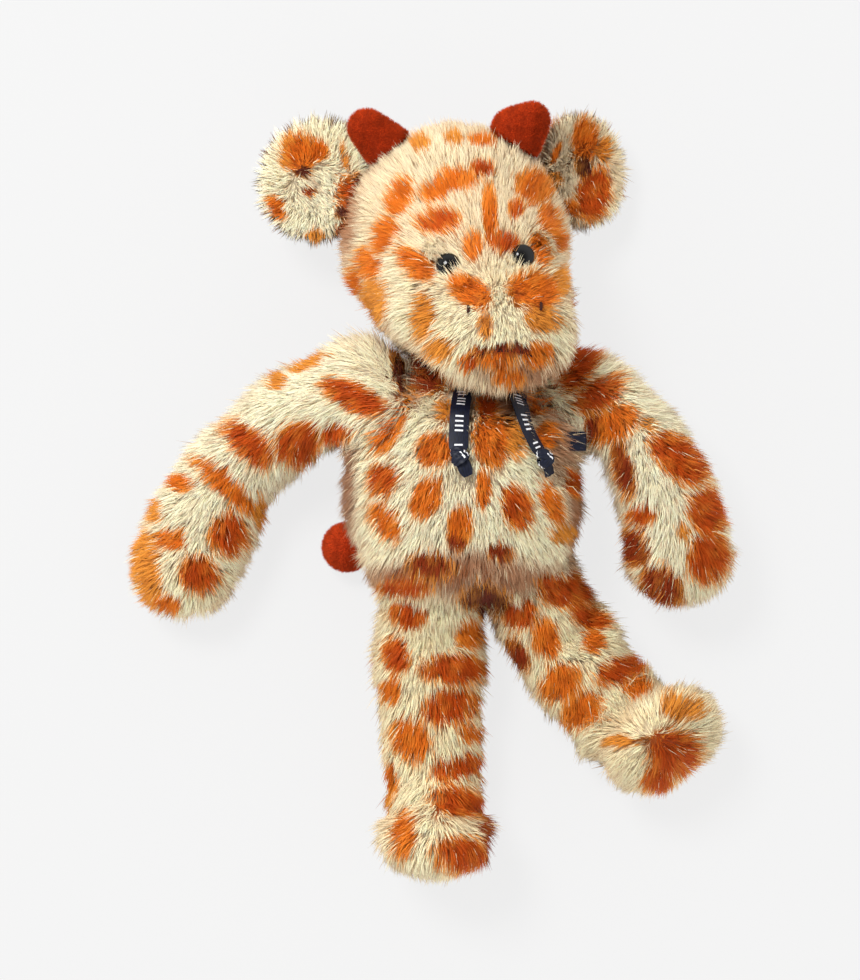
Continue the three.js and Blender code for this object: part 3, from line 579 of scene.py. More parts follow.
def back_with_fabric(form, body, nodes, spots, arrows, seed, spacing=0.027):
    """Colours a form as the fabric under its pile, puts it in the place of its CAD nodes, and
    gives back what its pile grows from."""
    hidden = back_spots(form, seed, spacing)
    places, normals, _ = mesh_rows(form)
    colours = coat_colours(places + normals * BACKING_DEPTH, normals, spots, hidden, 0)
    # Painted shade: the backing takes the coat's colours at half strength, darkened with deep rust.
    paint(form, "Coat", colours * 0.5 + rgb(DEEP_PILE_SHADE) * 0.24)
    form.data.materials.append(backing_material)
    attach(form, body)
    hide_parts(*nodes)
    return {"form": form, "body": body, "spots": spots, "hidden": hidden, "arrows": arrows}


def coat_material(name, roughness):
    """A material that takes its colour from the piece's own Coat attribute."""
    material, tree, shader = new_material(name)
    tone = add_node(tree, "ShaderNodeVertexColor", layer_name="Coat")
    tree.links.new(tone.outputs["Color"], shader.inputs["Base Color"])
    shader.inputs["Roughness"].default_value = roughness
    return material, tree, shader


# Long pile of fine acrylic staple: each strand is smooth and slightly lustrous, so the pile looks
# soft in the mass and catches the light along its locks. Its colours are printed lock by lock.
pile_material, tree, shader = coat_material("acrylic_pile", 0.62)
shader.inputs["Specular IOR Level"].default_value = 0.15

# Knitted backing: dull stitches 0.9 mm apart, which show only where the pile parts.
backing_material, tree, shader = coat_material("knitted_backing", 0.95)
place = add_node(tree, "ShaderNodeTexCoord")
stitches = add_node(tree, "ShaderNodeTexVoronoi", {"Vector": place.outputs["Object"]}, Scale=1 / 0.0009)
relief = add_node(tree, "ShaderNodeBump", {"Height": stitches.outputs["Distance"]},
                  Strength=0.5, Distance=0.0004)
tree.links.new(relief.outputs["Normal"], shader.inputs["Normal"])

# Places on the picture are pixels. A spot or a wash has its middle, half its width and height, its
# turn in degrees and its tone. An arrow of the combing has its place and its heading, a swell its
# place, reach and height in metres, and a clearing its place, reach and share of the pile's length.
# Painted shade: shade washes along the sides, under the chin and head and over the lower belly,
# a darker wash down the right side and between the legs, and the darkest tone in the creases.
body_spots = [
    (455, 490, 80, 80, 0, "pale"), (386, 424, 14, 30, -22, "orange"), (381, 481, 13, 15, 0, "rust"),
    (434, 451, 17, 15, 15, "orange"), (425, 500, 13, 19, -22, "orange"), (383, 524, 11, 19, 32, "orange"),
    (494, 440, 18, 24, 0, "orange"), (488, 405, 9, 16, 0, "rust"), (514, 437, 11, 19, 20, "gold"),
    (484, 492, 7, 18, 0, "orange"), (519, 510, 13, 20, 14, "rust"), (460, 527, 11, 16, 0, "orange"),
    (501, 554, 11, 8, 0, "dark"), (430, 568, 20, 11, -8, "dark"), (549, 436, 10, 12, 0, "orange"),
    (554, 505, 9, 20, 20, "orange"), (564, 536, 12, 7, 25, "gold"), (577, 485, 7, 12, 0, "rust"),
    (541, 403, 10, 10, 0, "orange"), (442, 410, 8, 9, 0, "gold"), (424, 376, 20, 15, 0, "dark"),
    (396, 372, 6, 26, 8, "plum"), (346, 490, 9, 60, 0, "dusk"), (420, 580, 60, 14, 0, "shade"),
    (520, 582, 40, 16, 0, "shade"), (478, 592, 34, 12, 0, "dusk"), (422, 576, 44, 9, 0, "shade"),
    (484, 602, 22, 13, 0, "plum"), (577, 520, 9, 50, 0, "shade"), (520, 403, 50, 20, 0, "shade"),
    (564, 440, 18, 40, 0, "shade"), (404, 396, 16, 10, 0, "shade"), (403, 590, 26, 8, 0, "rust"),
    (566, 590, 24, 10, -8, "rust"), (458, 543, 9, 8, 0, "dark"), (465, 566, 50, 14, 0, "shade"),
    (540, 402, 10, 8, 0, "rust"),
]
body_flow = [
    (463, 400, 270), (463, 470, 270), (463, 550, 270), (400, 400, 250), (390, 470, 240), (395, 540, 245),
    (530, 400, 290), (540, 470, 300), (530, 540, 290), (360, 480, 235), (572, 480, 305), (415, 372, 120),
    (400, 385, 160), (525, 372, 60), (545, 385, 20), (566, 441, 350),
]
ribbon_way = [(462, 396), (460, 412), (459, 428), (459, 446), (462, 464), (467, 476)]
ribbon_way += [(518, 396), (524, 412), (530, 430), (538, 448), (545, 462), (551, 476)]
under_ribbon = [(x, y, 9, 0.4) for x, y in ribbon_way]
under_ribbon += [(413, 370, 18, 1.4), (399, 360, 10, 1.4), (554, 440, 16, 1.15)]
body_form = sewn_form(
    "body_fabric", ["torso_skin", "torso_stuffing"], PANEL_VOXEL, BACKING_DEPTH,
    neighbours=["arm_right_skin", "arm_left_skin", "leg_right_skin", "leg_left_skin", "neck_skin"],
    swells=[(585, 540, 42, -0.005), (588, 468, 34, -0.003), (350, 552, 42, -0.006)],
)
body_coat = back_with_fabric(body_form, "torso", ["torso_skin"], body_spots, body_flow, 11)
grow_pile("body_pile_chest", 19000, 21, **body_coat, where=in_front(above=0), clearings=under_ribbon)
grow_pile("body_pile_belly", 18000, 22, **body_coat, where=in_front(below=0),
          clearings=[(350, 548, 20, 0.7)])
grow_pile("body_pile_back", 7000, 23, **body_coat, width=BACK_WIDTH, where=behind)


def on_shoulders(place, facing):
    """Either side of the neck, above the surface."""
    return (place[:, 1] > 0.044) & (np.abs(place[:, 0] - 0.002) > 0.016) & (place[:, 2] > 0.02)


grow_pile("body_pile_shoulders", 3500, 20, **body_coat, length=0.018, lift=0.8, where=on_shoulders)

# Neck: one ball of the same fur fabric, stuffed, that the body and the head are both sewn round.
# The chin and the chest hide all of it, and it shows a little when the head nods.
neck_form = sewn_form("neck_fabric", ["neck_skin", "neck_stuffing"], voxel=0.002, inset=0.003)
neck_flow = [(466, 352, 270), (410, 360, 180), (522, 360, 0)]
neck_coat = back_with_fabric(neck_form, "neck", ["neck_skin"], [], neck_flow, 12)
neck_coat["spots"] = [(430, 365, 30, 25, 0, "dark")]
grow_pile("neck_pile", 4000, 24, **neck_coat, length=0.012, width=0.0006, lift=0.75)

# Head: a round skull, full cheeks and a blunt muzzle from fur panels, stuffed firmly. The pile
# is brushed outwards from the bridge of the nose and trimmed shorter round eyes and nostrils.
# Painted shade: the shade washes under the chin and beside the right ear, and the dark and
# darkest tones along the crease of the mouth; the wash over the head darkens its cream a little.
head_spots = [
    (437, 187, 17, 9, 36, "orange"), (456, 177, 18, 10, -4, "orange"), (437, 219, 20, 11, 8, "rust"),
    (398, 195, 11, 18, -20, "orange"), (382, 234, 10, 17, -22, "orange"), (366, 264, 10, 15, 22, "orange"),
    (413, 263, 19, 11, -42, "orange"), (372, 303, 11, 22, 0, "gold"), (420, 318, 9, 20, 0, "gold"),
    (490, 210, 7, 23, 4, "orange"), (483, 166, 11, 7, 0, "rust"), (535, 186, 17, 15, -25, "orange"),
    (516, 207, 8, 8, 0, "rust"), (551, 218, 9, 15, 25, "orange"), (472, 243, 9, 13, -8, "orange"),
    (503, 239, 15, 9, -10, "rust"), (542, 249, 8, 15, 25, "orange"), (469, 291, 20, 13, -28, "orange"),
    (537, 289, 24, 17, -6, "orange"), (546, 319, 15, 13, 0, "gold"), (484, 327, 7, 12, 0, "gold"),
    (497, 363, 18, 7, 0, "orange"), (540, 357, 15, 10, 20, "orange"), (467, 365, 9, 8, 0, "rust"),
    (503, 354, 30, 4, 0, "dark"), (420, 141, 9, 7, 0, "gold"), (453, 136, 8, 6, 0, "gold"),
    (482, 138, 12, 6, 0, "orange"), (561, 240, 6, 10, 0, "orange"), (509, 380, 14, 8, 0, "orange"),
    (437, 352, 12, 10, -30, "gold"), (564, 282, 6, 14, 0, "gold"), (352, 285, 7, 14, 0, "orange"),
    (452, 205, 120, 85, 0, "wash"), (494, 352.5, 15, 4, 24, "plum"), (523, 350, 12, 2.5, -16, "plum"),
    (520, 375, 46, 16, 0, "shade"), (345, 215, 10, 50, 0, "shade"),
]
head_flow = [
    (500, 270, 90), (500, 230, 90), (480, 190, 100), (520, 190, 75), (450, 150, 102), (500, 140, 90),
    (440, 230, 130), (400, 200, 135), (370, 240, 175), (360, 290, 200), (400, 280, 195), (430, 300, 190),
    (400, 330, 225), (440, 330, 215), (470, 290, 150), (460, 320, 225), (480, 340, 250), (500, 330, 270),
    (520, 340, 285), (545, 330, 310), (560, 300, 350), (540, 285, 30), (550, 250, 10), (560, 210, 30),
    (545, 180, 50), (500, 375, 270), (460, 375, 250), (545, 370, 300), (500, 300, 270), (395, 160, 130),
    (550, 150, 60),
]
head_trims = [
    (447, 265, 7, 0.6), (526, 256, 7, 0.6), (470, 295, 30, 0.55), (535, 292, 30, 0.55),
    (503, 320, 40, 0.6), (500, 268, 34, 0.62), (500, 220, 70, 0.8),
]
head_form = sewn_form(
    "head_fabric", ["head_skin", "head_stuffing"], PANEL_VOXEL, BACKING_DEPTH,
    neighbours=["neck_skin"], trims=head_trims,
    swells=[(348, 268, 55, 0.005), (382, 332, 40, 0.0065), (574, 300, 40, 0.0035)],
)
head_coat = back_with_fabric(head_form, "head", ["head_skin"], head_spots, head_flow, 13)
NOSE_BRIDGE = (498, 288)
CROWN_LINE = 0.135
FACE_HEIGHT = 0.075


def on_face(place, facing):
    """The face, denser on the bridge of the nose, where the pile parts."""
    bridge = np.linalg.norm(picture_places(place) - NOSE_BRIDGE, axis=1)
    front = (place[:, 2] > FACE_HEIGHT) & (place[:, 1] < CROWN_LINE)
    return front * (1 + 2.5 * ramp(bridge, 20, 6))


grow_pile("head_pile_face", 21000, 25, **head_coat, clearings=head_trims, where=on_face)
grow_pile("head_pile_crown", 15500, 26, **head_coat, clearings=head_trims,
          where=in_front(above=CROWN_LINE))
grow_pile("head_pile_cheeks", 15500, 27, **head_coat,
          where=in_front(below=CROWN_LINE, height=FACE_HEIGHT))

# Lids: longer pile stands up at four places round the eyes and leans in over their rims, combed
# by an arrow at each and trimmed to its own share.
lid_arrows = [(435, 251, 312), (459, 279, 132), (537, 243, 232), (522, 273, 80)]
lid_trims = [(459, 279, 9, 0.8), (435, 251, 9, 0.85), (522, 273, 9, 0.65)]
EYE_PIXELS = np.array([(447, 265), (526, 256)])
LID_PIXELS = np.array([arrow[:2] for arrow in lid_arrows])
LID_REACH = 9
EYE_CLEARANCE = 13.5


def at_lids(place, facing):
    """Near a lid's place, clear of the eyes and on the front."""
    pixels = picture_places(place)[:, None]
    near = np.linalg.norm(pixels - LID_PIXELS, axis=2).min(1) < LID_REACH
    clear = np.linalg.norm(pixels - EYE_PIXELS, axis=2).min(1) > EYE_CLEARANCE
    return near & clear & (facing[:, 2] > 0.2)


grow_pile("head_pile_lids", 1800, 29, **{**head_coat, "arrows": lid_arrows}, length=0.0125,
          lift=0.78, where=at_lids, clearings=lid_trims)
grow_pile("head_pile_back", 7500, 28, **head_coat, width=BACK_WIDTH, where=behind)

# Eyes: black moulded acrylic domes on a shank that a washer holds behind the fabric. The mould
# leaves them glossy, so each shows the soft box as one bright point.
EYE_RADIUS = 0.006
EYE_RISE = 0.0038
EYE_SUNK = 0.001
EYE_TILT = (0, 0, 0.6)
SHANK_RADIUS = 0.002
RIM_UNDERCUT = (0.0006, 0.0004)
DOME_POLE = 0.0002


def clouded_material(name, dark, light, grain, roughness, detail=2.0):
    """A material whose colour drifts between two tones, in clouds as wide as its grain."""
    material, tree, shader = new_material(name)
    place = add_node(tree, "ShaderNodeTexCoord")
    clouds = add_node(tree, "ShaderNodeTexNoise", {"Vector": place.outputs["Object"]},
                      Scale=1 / grain, Detail=detail)
    cast = add_node(tree, "ShaderNodeValToRGB", {0: clouds.outputs["Fac"]})
    cast.color_ramp.elements[0].color = linear(dark)
    cast.color_ramp.elements[1].color = linear(light)
    tree.links.new(cast.outputs["Color"], shader.inputs["Base Color"])
    shader.inputs["Roughness"].default_value = roughness
    return material, tree, shader, clouds.outputs["Fac"]


# Black acrylic from a polished mould: deep, with a barely visible haze about 1.1 mm wide.
eye_material, tree, shader, _ = clouded_material(
    "moulded_black_acrylic", "#020202", "#070605", 0.00111, 0.04)
shader.inputs["IOR"].default_value = 1.49
shader.inputs["Specular IOR Level"].default_value = 0.3


def axis_of(places):
    """The middle and the axis of a round piece, from how its points spread, pointing up."""
    middle = places.mean(0)
    spread, ways = np.linalg.eigh(np.cov((places - middle).T))
    odd = 0 if spread[1] - spread[0] > spread[2] - spread[1] else 2
    axis = ways[:, odd] * np.sign(ways[2, odd])
    return middle, axis


def lathed(name, profile, origin, axis, steps=48):
    """A closed round piece: a profile of radius and height, spun about an axis through origin."""
    bpy.ops.object.select_all(action="DESELECT")
    bpy.ops.mesh.primitive_circle_add(vertices=steps, radius=profile[0][0], fill_type="NGON")
    piece = bpy.context.object
    piece.name = name
    bpy.ops.object.mode_set(mode="EDIT")
    bpy.ops.mesh.select_all(action="SELECT")
    bpy.ops.transform.translate(value=(0, 0, profile[0][1]))
    for (before, low), (after, high) in zip(profile, profile[1:]):
        bpy.ops.mesh.extrude_region_move(TRANSFORM_OT_translate={"value": (0, 0, high - low)})
        bpy.ops.transform.resize(value=(after / before, after / before, 1),
                                 center_override=(0, 0, high))
    bpy.ops.mesh.select_all(action="SELECT")
    bpy.ops.mesh.normals_make_consistent(inside=False)
    bpy.ops.object.mode_set(mode="OBJECT")
    bpy.ops.object.shade_smooth()
    turn = Vector(axis).to_track_quat("Z", "Y").to_matrix().to_4x4()
    piece.data.transform(Matrix.Translation(Vector(origin)) @ turn)
    return piece


for side in ("right", "left"):
    node = "eye_" + side
    places, _, _ = mesh_rows(frame["nodes"][node])
    middle, axis = axis_of(places)
    heights = (places - middle) @ axis
    top = heights.max() - EYE_SUNK
    rim = top - EYE_RISE
    step, drop = RIM_UNDERCUT
    profile = [(SHANK_RADIUS, heights.min()), (SHANK_RADIUS, rim - drop), (EYE_RADIUS - step, rim - drop)]
    for k in range(10):
        angle = k * math.pi / 20
        profile.append((EYE_RADIUS * math.cos(angle), rim + EYE_RISE * math.sin(angle)))
    profile.append((DOME_POLE, top))
    eye = lathed(node + "_dome", profile, middle, axis + EYE_TILT)
    eye.data.materials.append(eye_material)
    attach(eye, "head")
    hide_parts(node)

# Washers: white nylon, pressed on the shanks behind the fabric, so the eyes can't be pulled out.
# Flow marks from the mould, about 2.5 mm wide, cloud their white a little.
washer_material, tree, shader, _ = clouded_material(
    "moulded_white_nylon", "#e4e2dc", "#f3f1ec", 0.0025, 0.42)
for side in ("right", "left"):
    washer = frame["nodes"]["eye_washer_" + side]
    washer.data.materials.clear()
    washer.data.materials.append(washer_material)

# Nostrils and mouth: satin stitches of dark brown embroidery thread, two plies twisted together
# and pulled tight through the fabric, so that the pile closes over their ends.
thread_material, tree, shader, _ = clouded_material(
    "twisted_thread", "#1c0a05", "#45190b", 0.000455, 0.6)
shader.inputs["Specular IOR Level"].default_value = 0.2
THREAD_RADIUS = 0.0009
THREAD_SIDES = 12
STITCH_DEPTH = {"nostril": 0.002, "mouth": 0.0046}
TWIST_PITCH = 0.0030
CURVE_STEPS = 160


def smooth_line(points, count):
    """Points at even steps on a smooth curve through the points."""
    rows = np.array([list(point) for point in points])
    rows = np.vstack((2 * rows[0] - rows[1], rows, 2 * rows[-1] - rows[-2]))
    line = []
    for share in np.linspace(0, len(rows) - 3 - 1e-6, CURVE_STEPS):
        k = int(share)
        t = share - k
        a, b, c, d = rows[k:k + 4]
        line.append(0.5 * (2 * b + (c - a) * t + (2 * a - 5 * b + 4 * c - d) * t * t
                           + (3 * b - a - 3 * c + d) * t ** 3))
    line = np.array(line)
    run = np.concatenate(([0], np.cumsum(np.linalg.norm(np.diff(line, axis=0), axis=1))))
    steps = np.linspace(0, run[-1], count)
    return np.column_stack([np.interp(steps, run, line[:, k]) for k in range(3)]), run[-1]


def swept(name, rings, closed=False):
    """A closed tube through rings of points, each ring a list of the same length."""
    sides = len(rings[0])
    vertices = [tuple(point) for ring in rings for point in ring]
    faces = []
    for k in range(len(rings) if closed else len(rings) - 1):
        low, high = k * sides, (k + 1) % len(rings) * sides
        faces += [(low + j, low + (j + 1) % sides, high + (j + 1) % sides, high + j)
                  for j in range(sides)]
    if not closed:
        faces += [tuple(reversed(range(sides))), tuple(range(len(vertices) - sides, len(vertices)))]
    mesh = bpy.data.meshes.new(name)
    mesh.from_pydata(vertices, [], faces)
    piece = bpy.data.objects.new(name, mesh)
    bpy.context.scene.collection.objects.link(piece)
    shell = bmesh.new()
    shell.from_mesh(mesh)
    bmesh.ops.recalc_face_normals(shell, faces=shell.faces)
    shell.to_mesh(mesh)
    shell.free()
    mesh.polygons.foreach_set("use_smooth", [True] * len(mesh.polygons))
    return piece


def twisted_thread(name, line, length):
    """A thread of two plies along a line: a tube with a waist that turns once a pitch."""
    ways = unit(np.gradient(line, axis=0))
    aside = unit(np.cross(ways, [0, 0, 1]))
    above = np.cross(aside, ways)
    rings = []
    for k, middle in enumerate(line):
        share = k / (len(line) - 1)
        taper = min(1, 0.35 + 4 * min(share, 1 - share))
        twist = 2 * math.pi * share * length / TWIST_PITCH
        ring = []
        for j in range(THREAD_SIDES):
            angle = 2 * math.pi * j / THREAD_SIDES
            reach = THREAD_RADIUS * taper * (0.68 + 0.32 * abs(math.cos(angle - twist)))
            ring.append(middle + (aside[k] * math.cos(angle) + above[k] * math.sin(angle)) * reach)
        rings.append(ring)
    return swept(name, rings)


stitch_pixels = {
    "nostril_stitch_right": [(468, 304.5), (468.4, 307), (468.4, 310), (468, 313.5)],
    "nostril_stitch_left": [(541, 301.5), (541.2, 304), (541.2, 308), (541, 310.5)],
    "mouth_stitch": [(471.5, 356.5), (486, 352), (502, 350), (518, 351), (533.5, 356.3)],
}
for node, pixels in stitch_pixels.items():
    surface = surface_of(node)
    hits = [seen_at(surface, pixel)[0] for pixel in pixels]
    hits = [hit - Vector((0, 0, STITCH_DEPTH[node.split("_")[0]])) for hit in hits if hit is not None]
    line, length = smooth_line(hits, 40 if node == "mouth_stitch" else 16)
    stitch = twisted_thread(node + "_thread", line, length)
    stitch.data.materials.append(thread_material)
    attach(stitch, "head")
    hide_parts(node)

# Horns: thimbles of rust-red velvet, a short brushed nap on a stretch knit, stuffed hard and sewn
# to the crown. Light glances off the standing nap, so their edges look paler than their middle.
velvet_material, tree, shader = coat_material("brushed_velvet", 0.85)
shader.inputs["Specular IOR Level"].default_value = 0.1
shader.inputs["Sheen Weight"].default_value = 0.12
shader.inputs["Sheen Roughness"].default_value = 0.4
shader.inputs["Sheen Tint"].default_value = linear("#ff8a4c")
VELVET = "#bd3a10"
VELVET_VOXEL = 0.0012
VELVET_DEPTH = 0.0009
NAP_LENGTH = 0.0021
NAP_COUNT = 9000
NAP_RADIUS = 0.00022
NAP_SUNK = 0.0002
NAP_FACES = [(2, 1, 0), (0, 1, 3), (1, 2, 3), (2, 0, 3)]
NAP_CELLS = [(0.9, 0.1), (0.7, 0.3), (0.5, 0.1), (0, 0), (0.3, 0), (0.15, 1),
             (0.35, 0.35), (0.65, 0.35), (0.5, 1), (0.7, 0.35), (1, 0.35), (0.85, 1)]


def velvet_nap(name, body, form, seed, tone=VELVET):
    """Short straight closed spikes that stand on velvet, each with its own tone."""
    chance = np.random.default_rng(seed)
    count = NAP_COUNT
    root, normal = strewn_roots(form, count, chance, lambda area, middle, facing: area)
    lean = unit(normal + chance.normal(0, 0.33, (count, 3)))
    aside = unit(np.cross(lean, chance.normal(size=(count, 3))))
    vertices = np.empty((count, 4, 3))
    for k, out in enumerate(three_ways(aside, np.cross(lean, aside))):
        vertices[:, k] = root + out * NAP_RADIUS - normal * NAP_SUNK
    vertices[:, 3] = root + lean * (NAP_LENGTH * chance.uniform(0.6, 1.15, count))[:, None]
    patch = mottled(root, (520.0, 380.0, 430.0), (-410.0, 560.0, 300.0)) * 0.2
    shade = np.clip(1 + patch + chance.normal(0, 0.12, count), 0.6, 1.4)[:, None]
    colour = rgb(tone) * shade
    tinted = np.empty((count, 4, 3))
    # Painted shade: each spike is darker at its foot, among the others, and paler at its tip.
    tinted[:, :3] = (colour * 0.55)[:, None]
    tinted[:, 3] = colour * 1.25
    standing = np.repeat(normal, 4, axis=0)
    piece = strand_mesh(name, vertices, standing, tinted, NAP_FACES, NAP_CELLS, velvet_material)
    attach(piece, body)


def velvet_form(name, nodes, body, stands_for, swells=()):
    """A smooth velvet form round CAD nodes, ready for its nap."""
    form = sewn_form(name, nodes, VELVET_VOXEL, VELVET_DEPTH, rounds=12, swells=swells)
    # Painted shade: the velvet under the nap is darker, as in the shade among the spikes.
    paint(form, "Coat", np.tile(rgb(VELVET) * 0.6, (len(form.data.vertices), 1)))
    form.data.materials.append(velvet_material)
    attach(form, body)
    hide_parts(stands_for)
    return form


for k, side in enumerate(("right", "left")):
    node = "horn_" + side
    horn = velvet_form(node + "_velvet", [node + "_skin", node + "_stuffing"], "head", node + "_skin",
                       swells=[(500, 116, 28, 0.006)])
    velvet_nap(node + "_nap", "head", horn, 31 + k)

# Ears: a front and a back panel of fur fabric sewn face to face, turned, and folded at the root,
# where they are sewn to the side of the head. The pile stands out round the rim.
# Painted shade: the shade wash and the darkest tone lie in the folds and the hollow of the ears.
ear_spots = {
    "right": [
        (299, 152, 16, 17, -30, "orange"), (318, 150, 9, 10, 30, "orange"), (304, 172, 7, 6, 0, "plum"),
        (287, 150, 7, 15, -10, "gold"), (313, 182, 15, 3, -50, "shade"), (311, 193, 5, 4, 0, "dark"),
        (351, 196, 12, 18, 0, "rust"), (358, 188, 4, 14, 0, "plum"), (346, 213, 10, 6, 0, "plum"),
        (345, 157, 3, 12, 12, "gold"), (275, 208, 6, 12, 30, "orange"), (314, 238, 9, 6, 0, "gold"),
        (343, 238, 8, 17, -20, "dark"), (300, 190, 60, 70, 0, "pale"),
    ],
    "left": [
        (586, 140, 12, 20, 0, "orange"), (594, 196, 15, 24, -12, "rust"), (584, 168, 8, 9, 0, "plum"),
        (556, 153, 3, 11, -25, "orange"), (550, 182, 11, 8, 20, "gold"), (569, 210, 10, 8, 0, "orange"),
        (588, 170, 60, 60, 0, "wash"), (606, 150, 6, 12, 0, "gold"),
    ],
}
EAR_VOXEL = 0.0014
EAR_DEPTH = 0.0008
ear_middles = {"right": (316, 185), "left": (588, 170)}
ear_extra = {"right": [(326, 182, 320), (308, 189, 320)], "left": [(588, 170, 250)]}
ear_fits = {"right": (0.89, (-0.0005, 0.0028, 0)), "left": (0.81, (0.0007, -0.0015, 0))}
for k, side in enumerate(("right", "left")):
    x, y = ear_middles[side]
    flow = [(x + 45 * math.cos(math.radians(turn)), y - 45 * math.sin(math.radians(turn)), turn)
            for turn in range(0, 360, 30)]
    body = "ear_" + side
    low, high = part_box(body + "_inner")
    middle = (low + high) / 2
    root_x = high.x if side == "right" else low.x
    anchor = Vector((middle.x * 0.6 + root_x * 0.4, middle.y, middle.z))
    shrink, shift = ear_fits[side]
    for j, (panel, count, length) in enumerate((("inner", 7500, 0.0098), ("outer", 5500, 0.0108))):
        node = body + "_" + panel
        form = sewn_form(node + "_fabric", [node], EAR_VOXEL, EAR_DEPTH, rounds=6)
        form.data.transform(Matrix.Translation(anchor + Vector(shift)) @ Matrix.Scale(shrink, 4)
                            @ Matrix.Translation(-anchor))
        seed = 40 + 2 * k + j
        coat = back_with_fabric(form, body, [node], ear_spots[side], flow + ear_extra[side], seed, 0.03)
        grow_pile(node + "_pile", count, seed + 4, **coat, length=length, lift=0.5)

# Arms: tapered tubes of fur fabric with a round paw end, stuffed softly and sewn in at the
# shoulder. The pile is combed down the arm and bursts outwards round the seam at the paw.
# Painted shade: the darkest tone in the crease at the right shoulder. The dark spots along the left
# arm's inner side are both its darkest rust and painted shade.
arm_spots = {
    "right": [
        (350, 397, 28, 13, -26, "rust"), (297, 447, 20, 20, 0, "rust"), (335, 437, 14, 8, 10, "rust"),
        (248, 446, 29, 13.5, -42, "rust"), (225, 488, 38, 9, -42, "orange"),
        (177, 483, 11, 8, -20, "orange"), (169, 541, 14, 9, -5, "orange"), (229, 537, 18, 19, 0, "rust"),
        (262, 516, 6, 13, 0, "gold"), (144, 570, 12, 36, 8, "gold"), (200, 577, 19, 17, 0, "rust"),
        (166, 606, 14, 8, -15, "orange"), (274, 380, 8, 9, 0, "gold"), (152, 511, 6, 11, 0, "gold"),
        (306, 362, 15, 6, 28, "gold"), (397, 368, 6, 26, 8, "plum"), (270, 430, 170, 130, 20, "pale"),
    ],
    "left": [
        (582, 362, 14, 29, -28, "rust"), (601, 395, 25, 13, 32, "rust"), (614, 426, 24, 15, 32, "orange"),
        (682, 460, 31, 18, -38, "rust"), (622, 470, 9, 27, 12, "dark"), (641, 518, 14, 8, 0, "rust"),
        (709, 514, 17, 22, 0, "rust"), (633, 549, 12, 19, 20, "dark"), (709, 560, 19, 23, -20, "rust"),
        (661, 588, 22, 15, -38, "dark"), (684, 534, 7, 6, 0, "gold"), (594, 430, 9, 14, 0, "dark"),
        (650, 425, 7, 6, 0, "gold"), (665, 470, 90, 130, 20, "pale"),
    ],
}
arm_flow = {
    "right": [
        (375, 390, 190), (325, 398, 200), (275, 425, 222), (235, 467, 235), (205, 515, 245),
        (300, 370, 170), (240, 420, 195), (190, 470, 205), (150, 530, 190), (140, 580, 190),
        (150, 610, 225), (185, 615, 270), (215, 600, 310), (235, 570, 335), (250, 530, 320),
        (270, 490, 300), (300, 460, 285), (340, 430, 270), (185, 590, 250), (330, 350, 150),
    ],
    "left": [
        (570, 390, 330), (610, 405, 315), (645, 440, 300), (663, 485, 285), (690, 420, 20), (650, 385, 35),
        (610, 360, 45), (715, 470, 5), (728, 520, 0), (730, 560, 345), (715, 595, 310), (680, 605, 270),
        (655, 595, 235), (635, 560, 205), (620, 520, 200), (610, 470, 225), (590, 430, 235),
        (705, 565, 280), (675, 545, 260),
    ],
}
arm_swells = {
    "right": [
        (364, 342, 50, 0.0095), (285, 365, 50, -0.003), (222, 398, 60, -0.007), (250, 540, 55, 0.0045),
        (145, 495, 50, 0.0045), (145, 605, 45, 0.0035), (300, 480, 50, 0.003),
    ],
    "left": [
        (608, 490, 50, 0.005), (720, 470, 50, 0.0035), (660, 385, 50, -0.004), (632, 598, 40, -0.004),
    ],
}


def limb_coat(node, spots, flow, swells, seed):
    """The fabric of an arm or a leg, and what its pile grows from."""
    form = sewn_form(node + "_fabric", [node + "_skin", node + "_stuffing"], PANEL_VOXEL,
                     BACKING_DEPTH, neighbours=["torso_skin"], swells=swells)
    return back_with_fabric(form, node, [node + "_skin"], spots, flow, seed)


for k, side in enumerate(("right", "left")):
    node = "arm_" + side
    coat = limb_coat(node, arm_spots[side], arm_flow[side], arm_swells[side], 50 + k)
    grow_pile(node + "_pile_front", 23000 - 1500 * k, 52 + k, **coat,
              clearings=[(362, 348, 22, 1.35)], where=in_front())
    grow_pile(node + "_pile_back", 5500, 54 + k, **coat, width=BACK_WIDTH, where=behind)

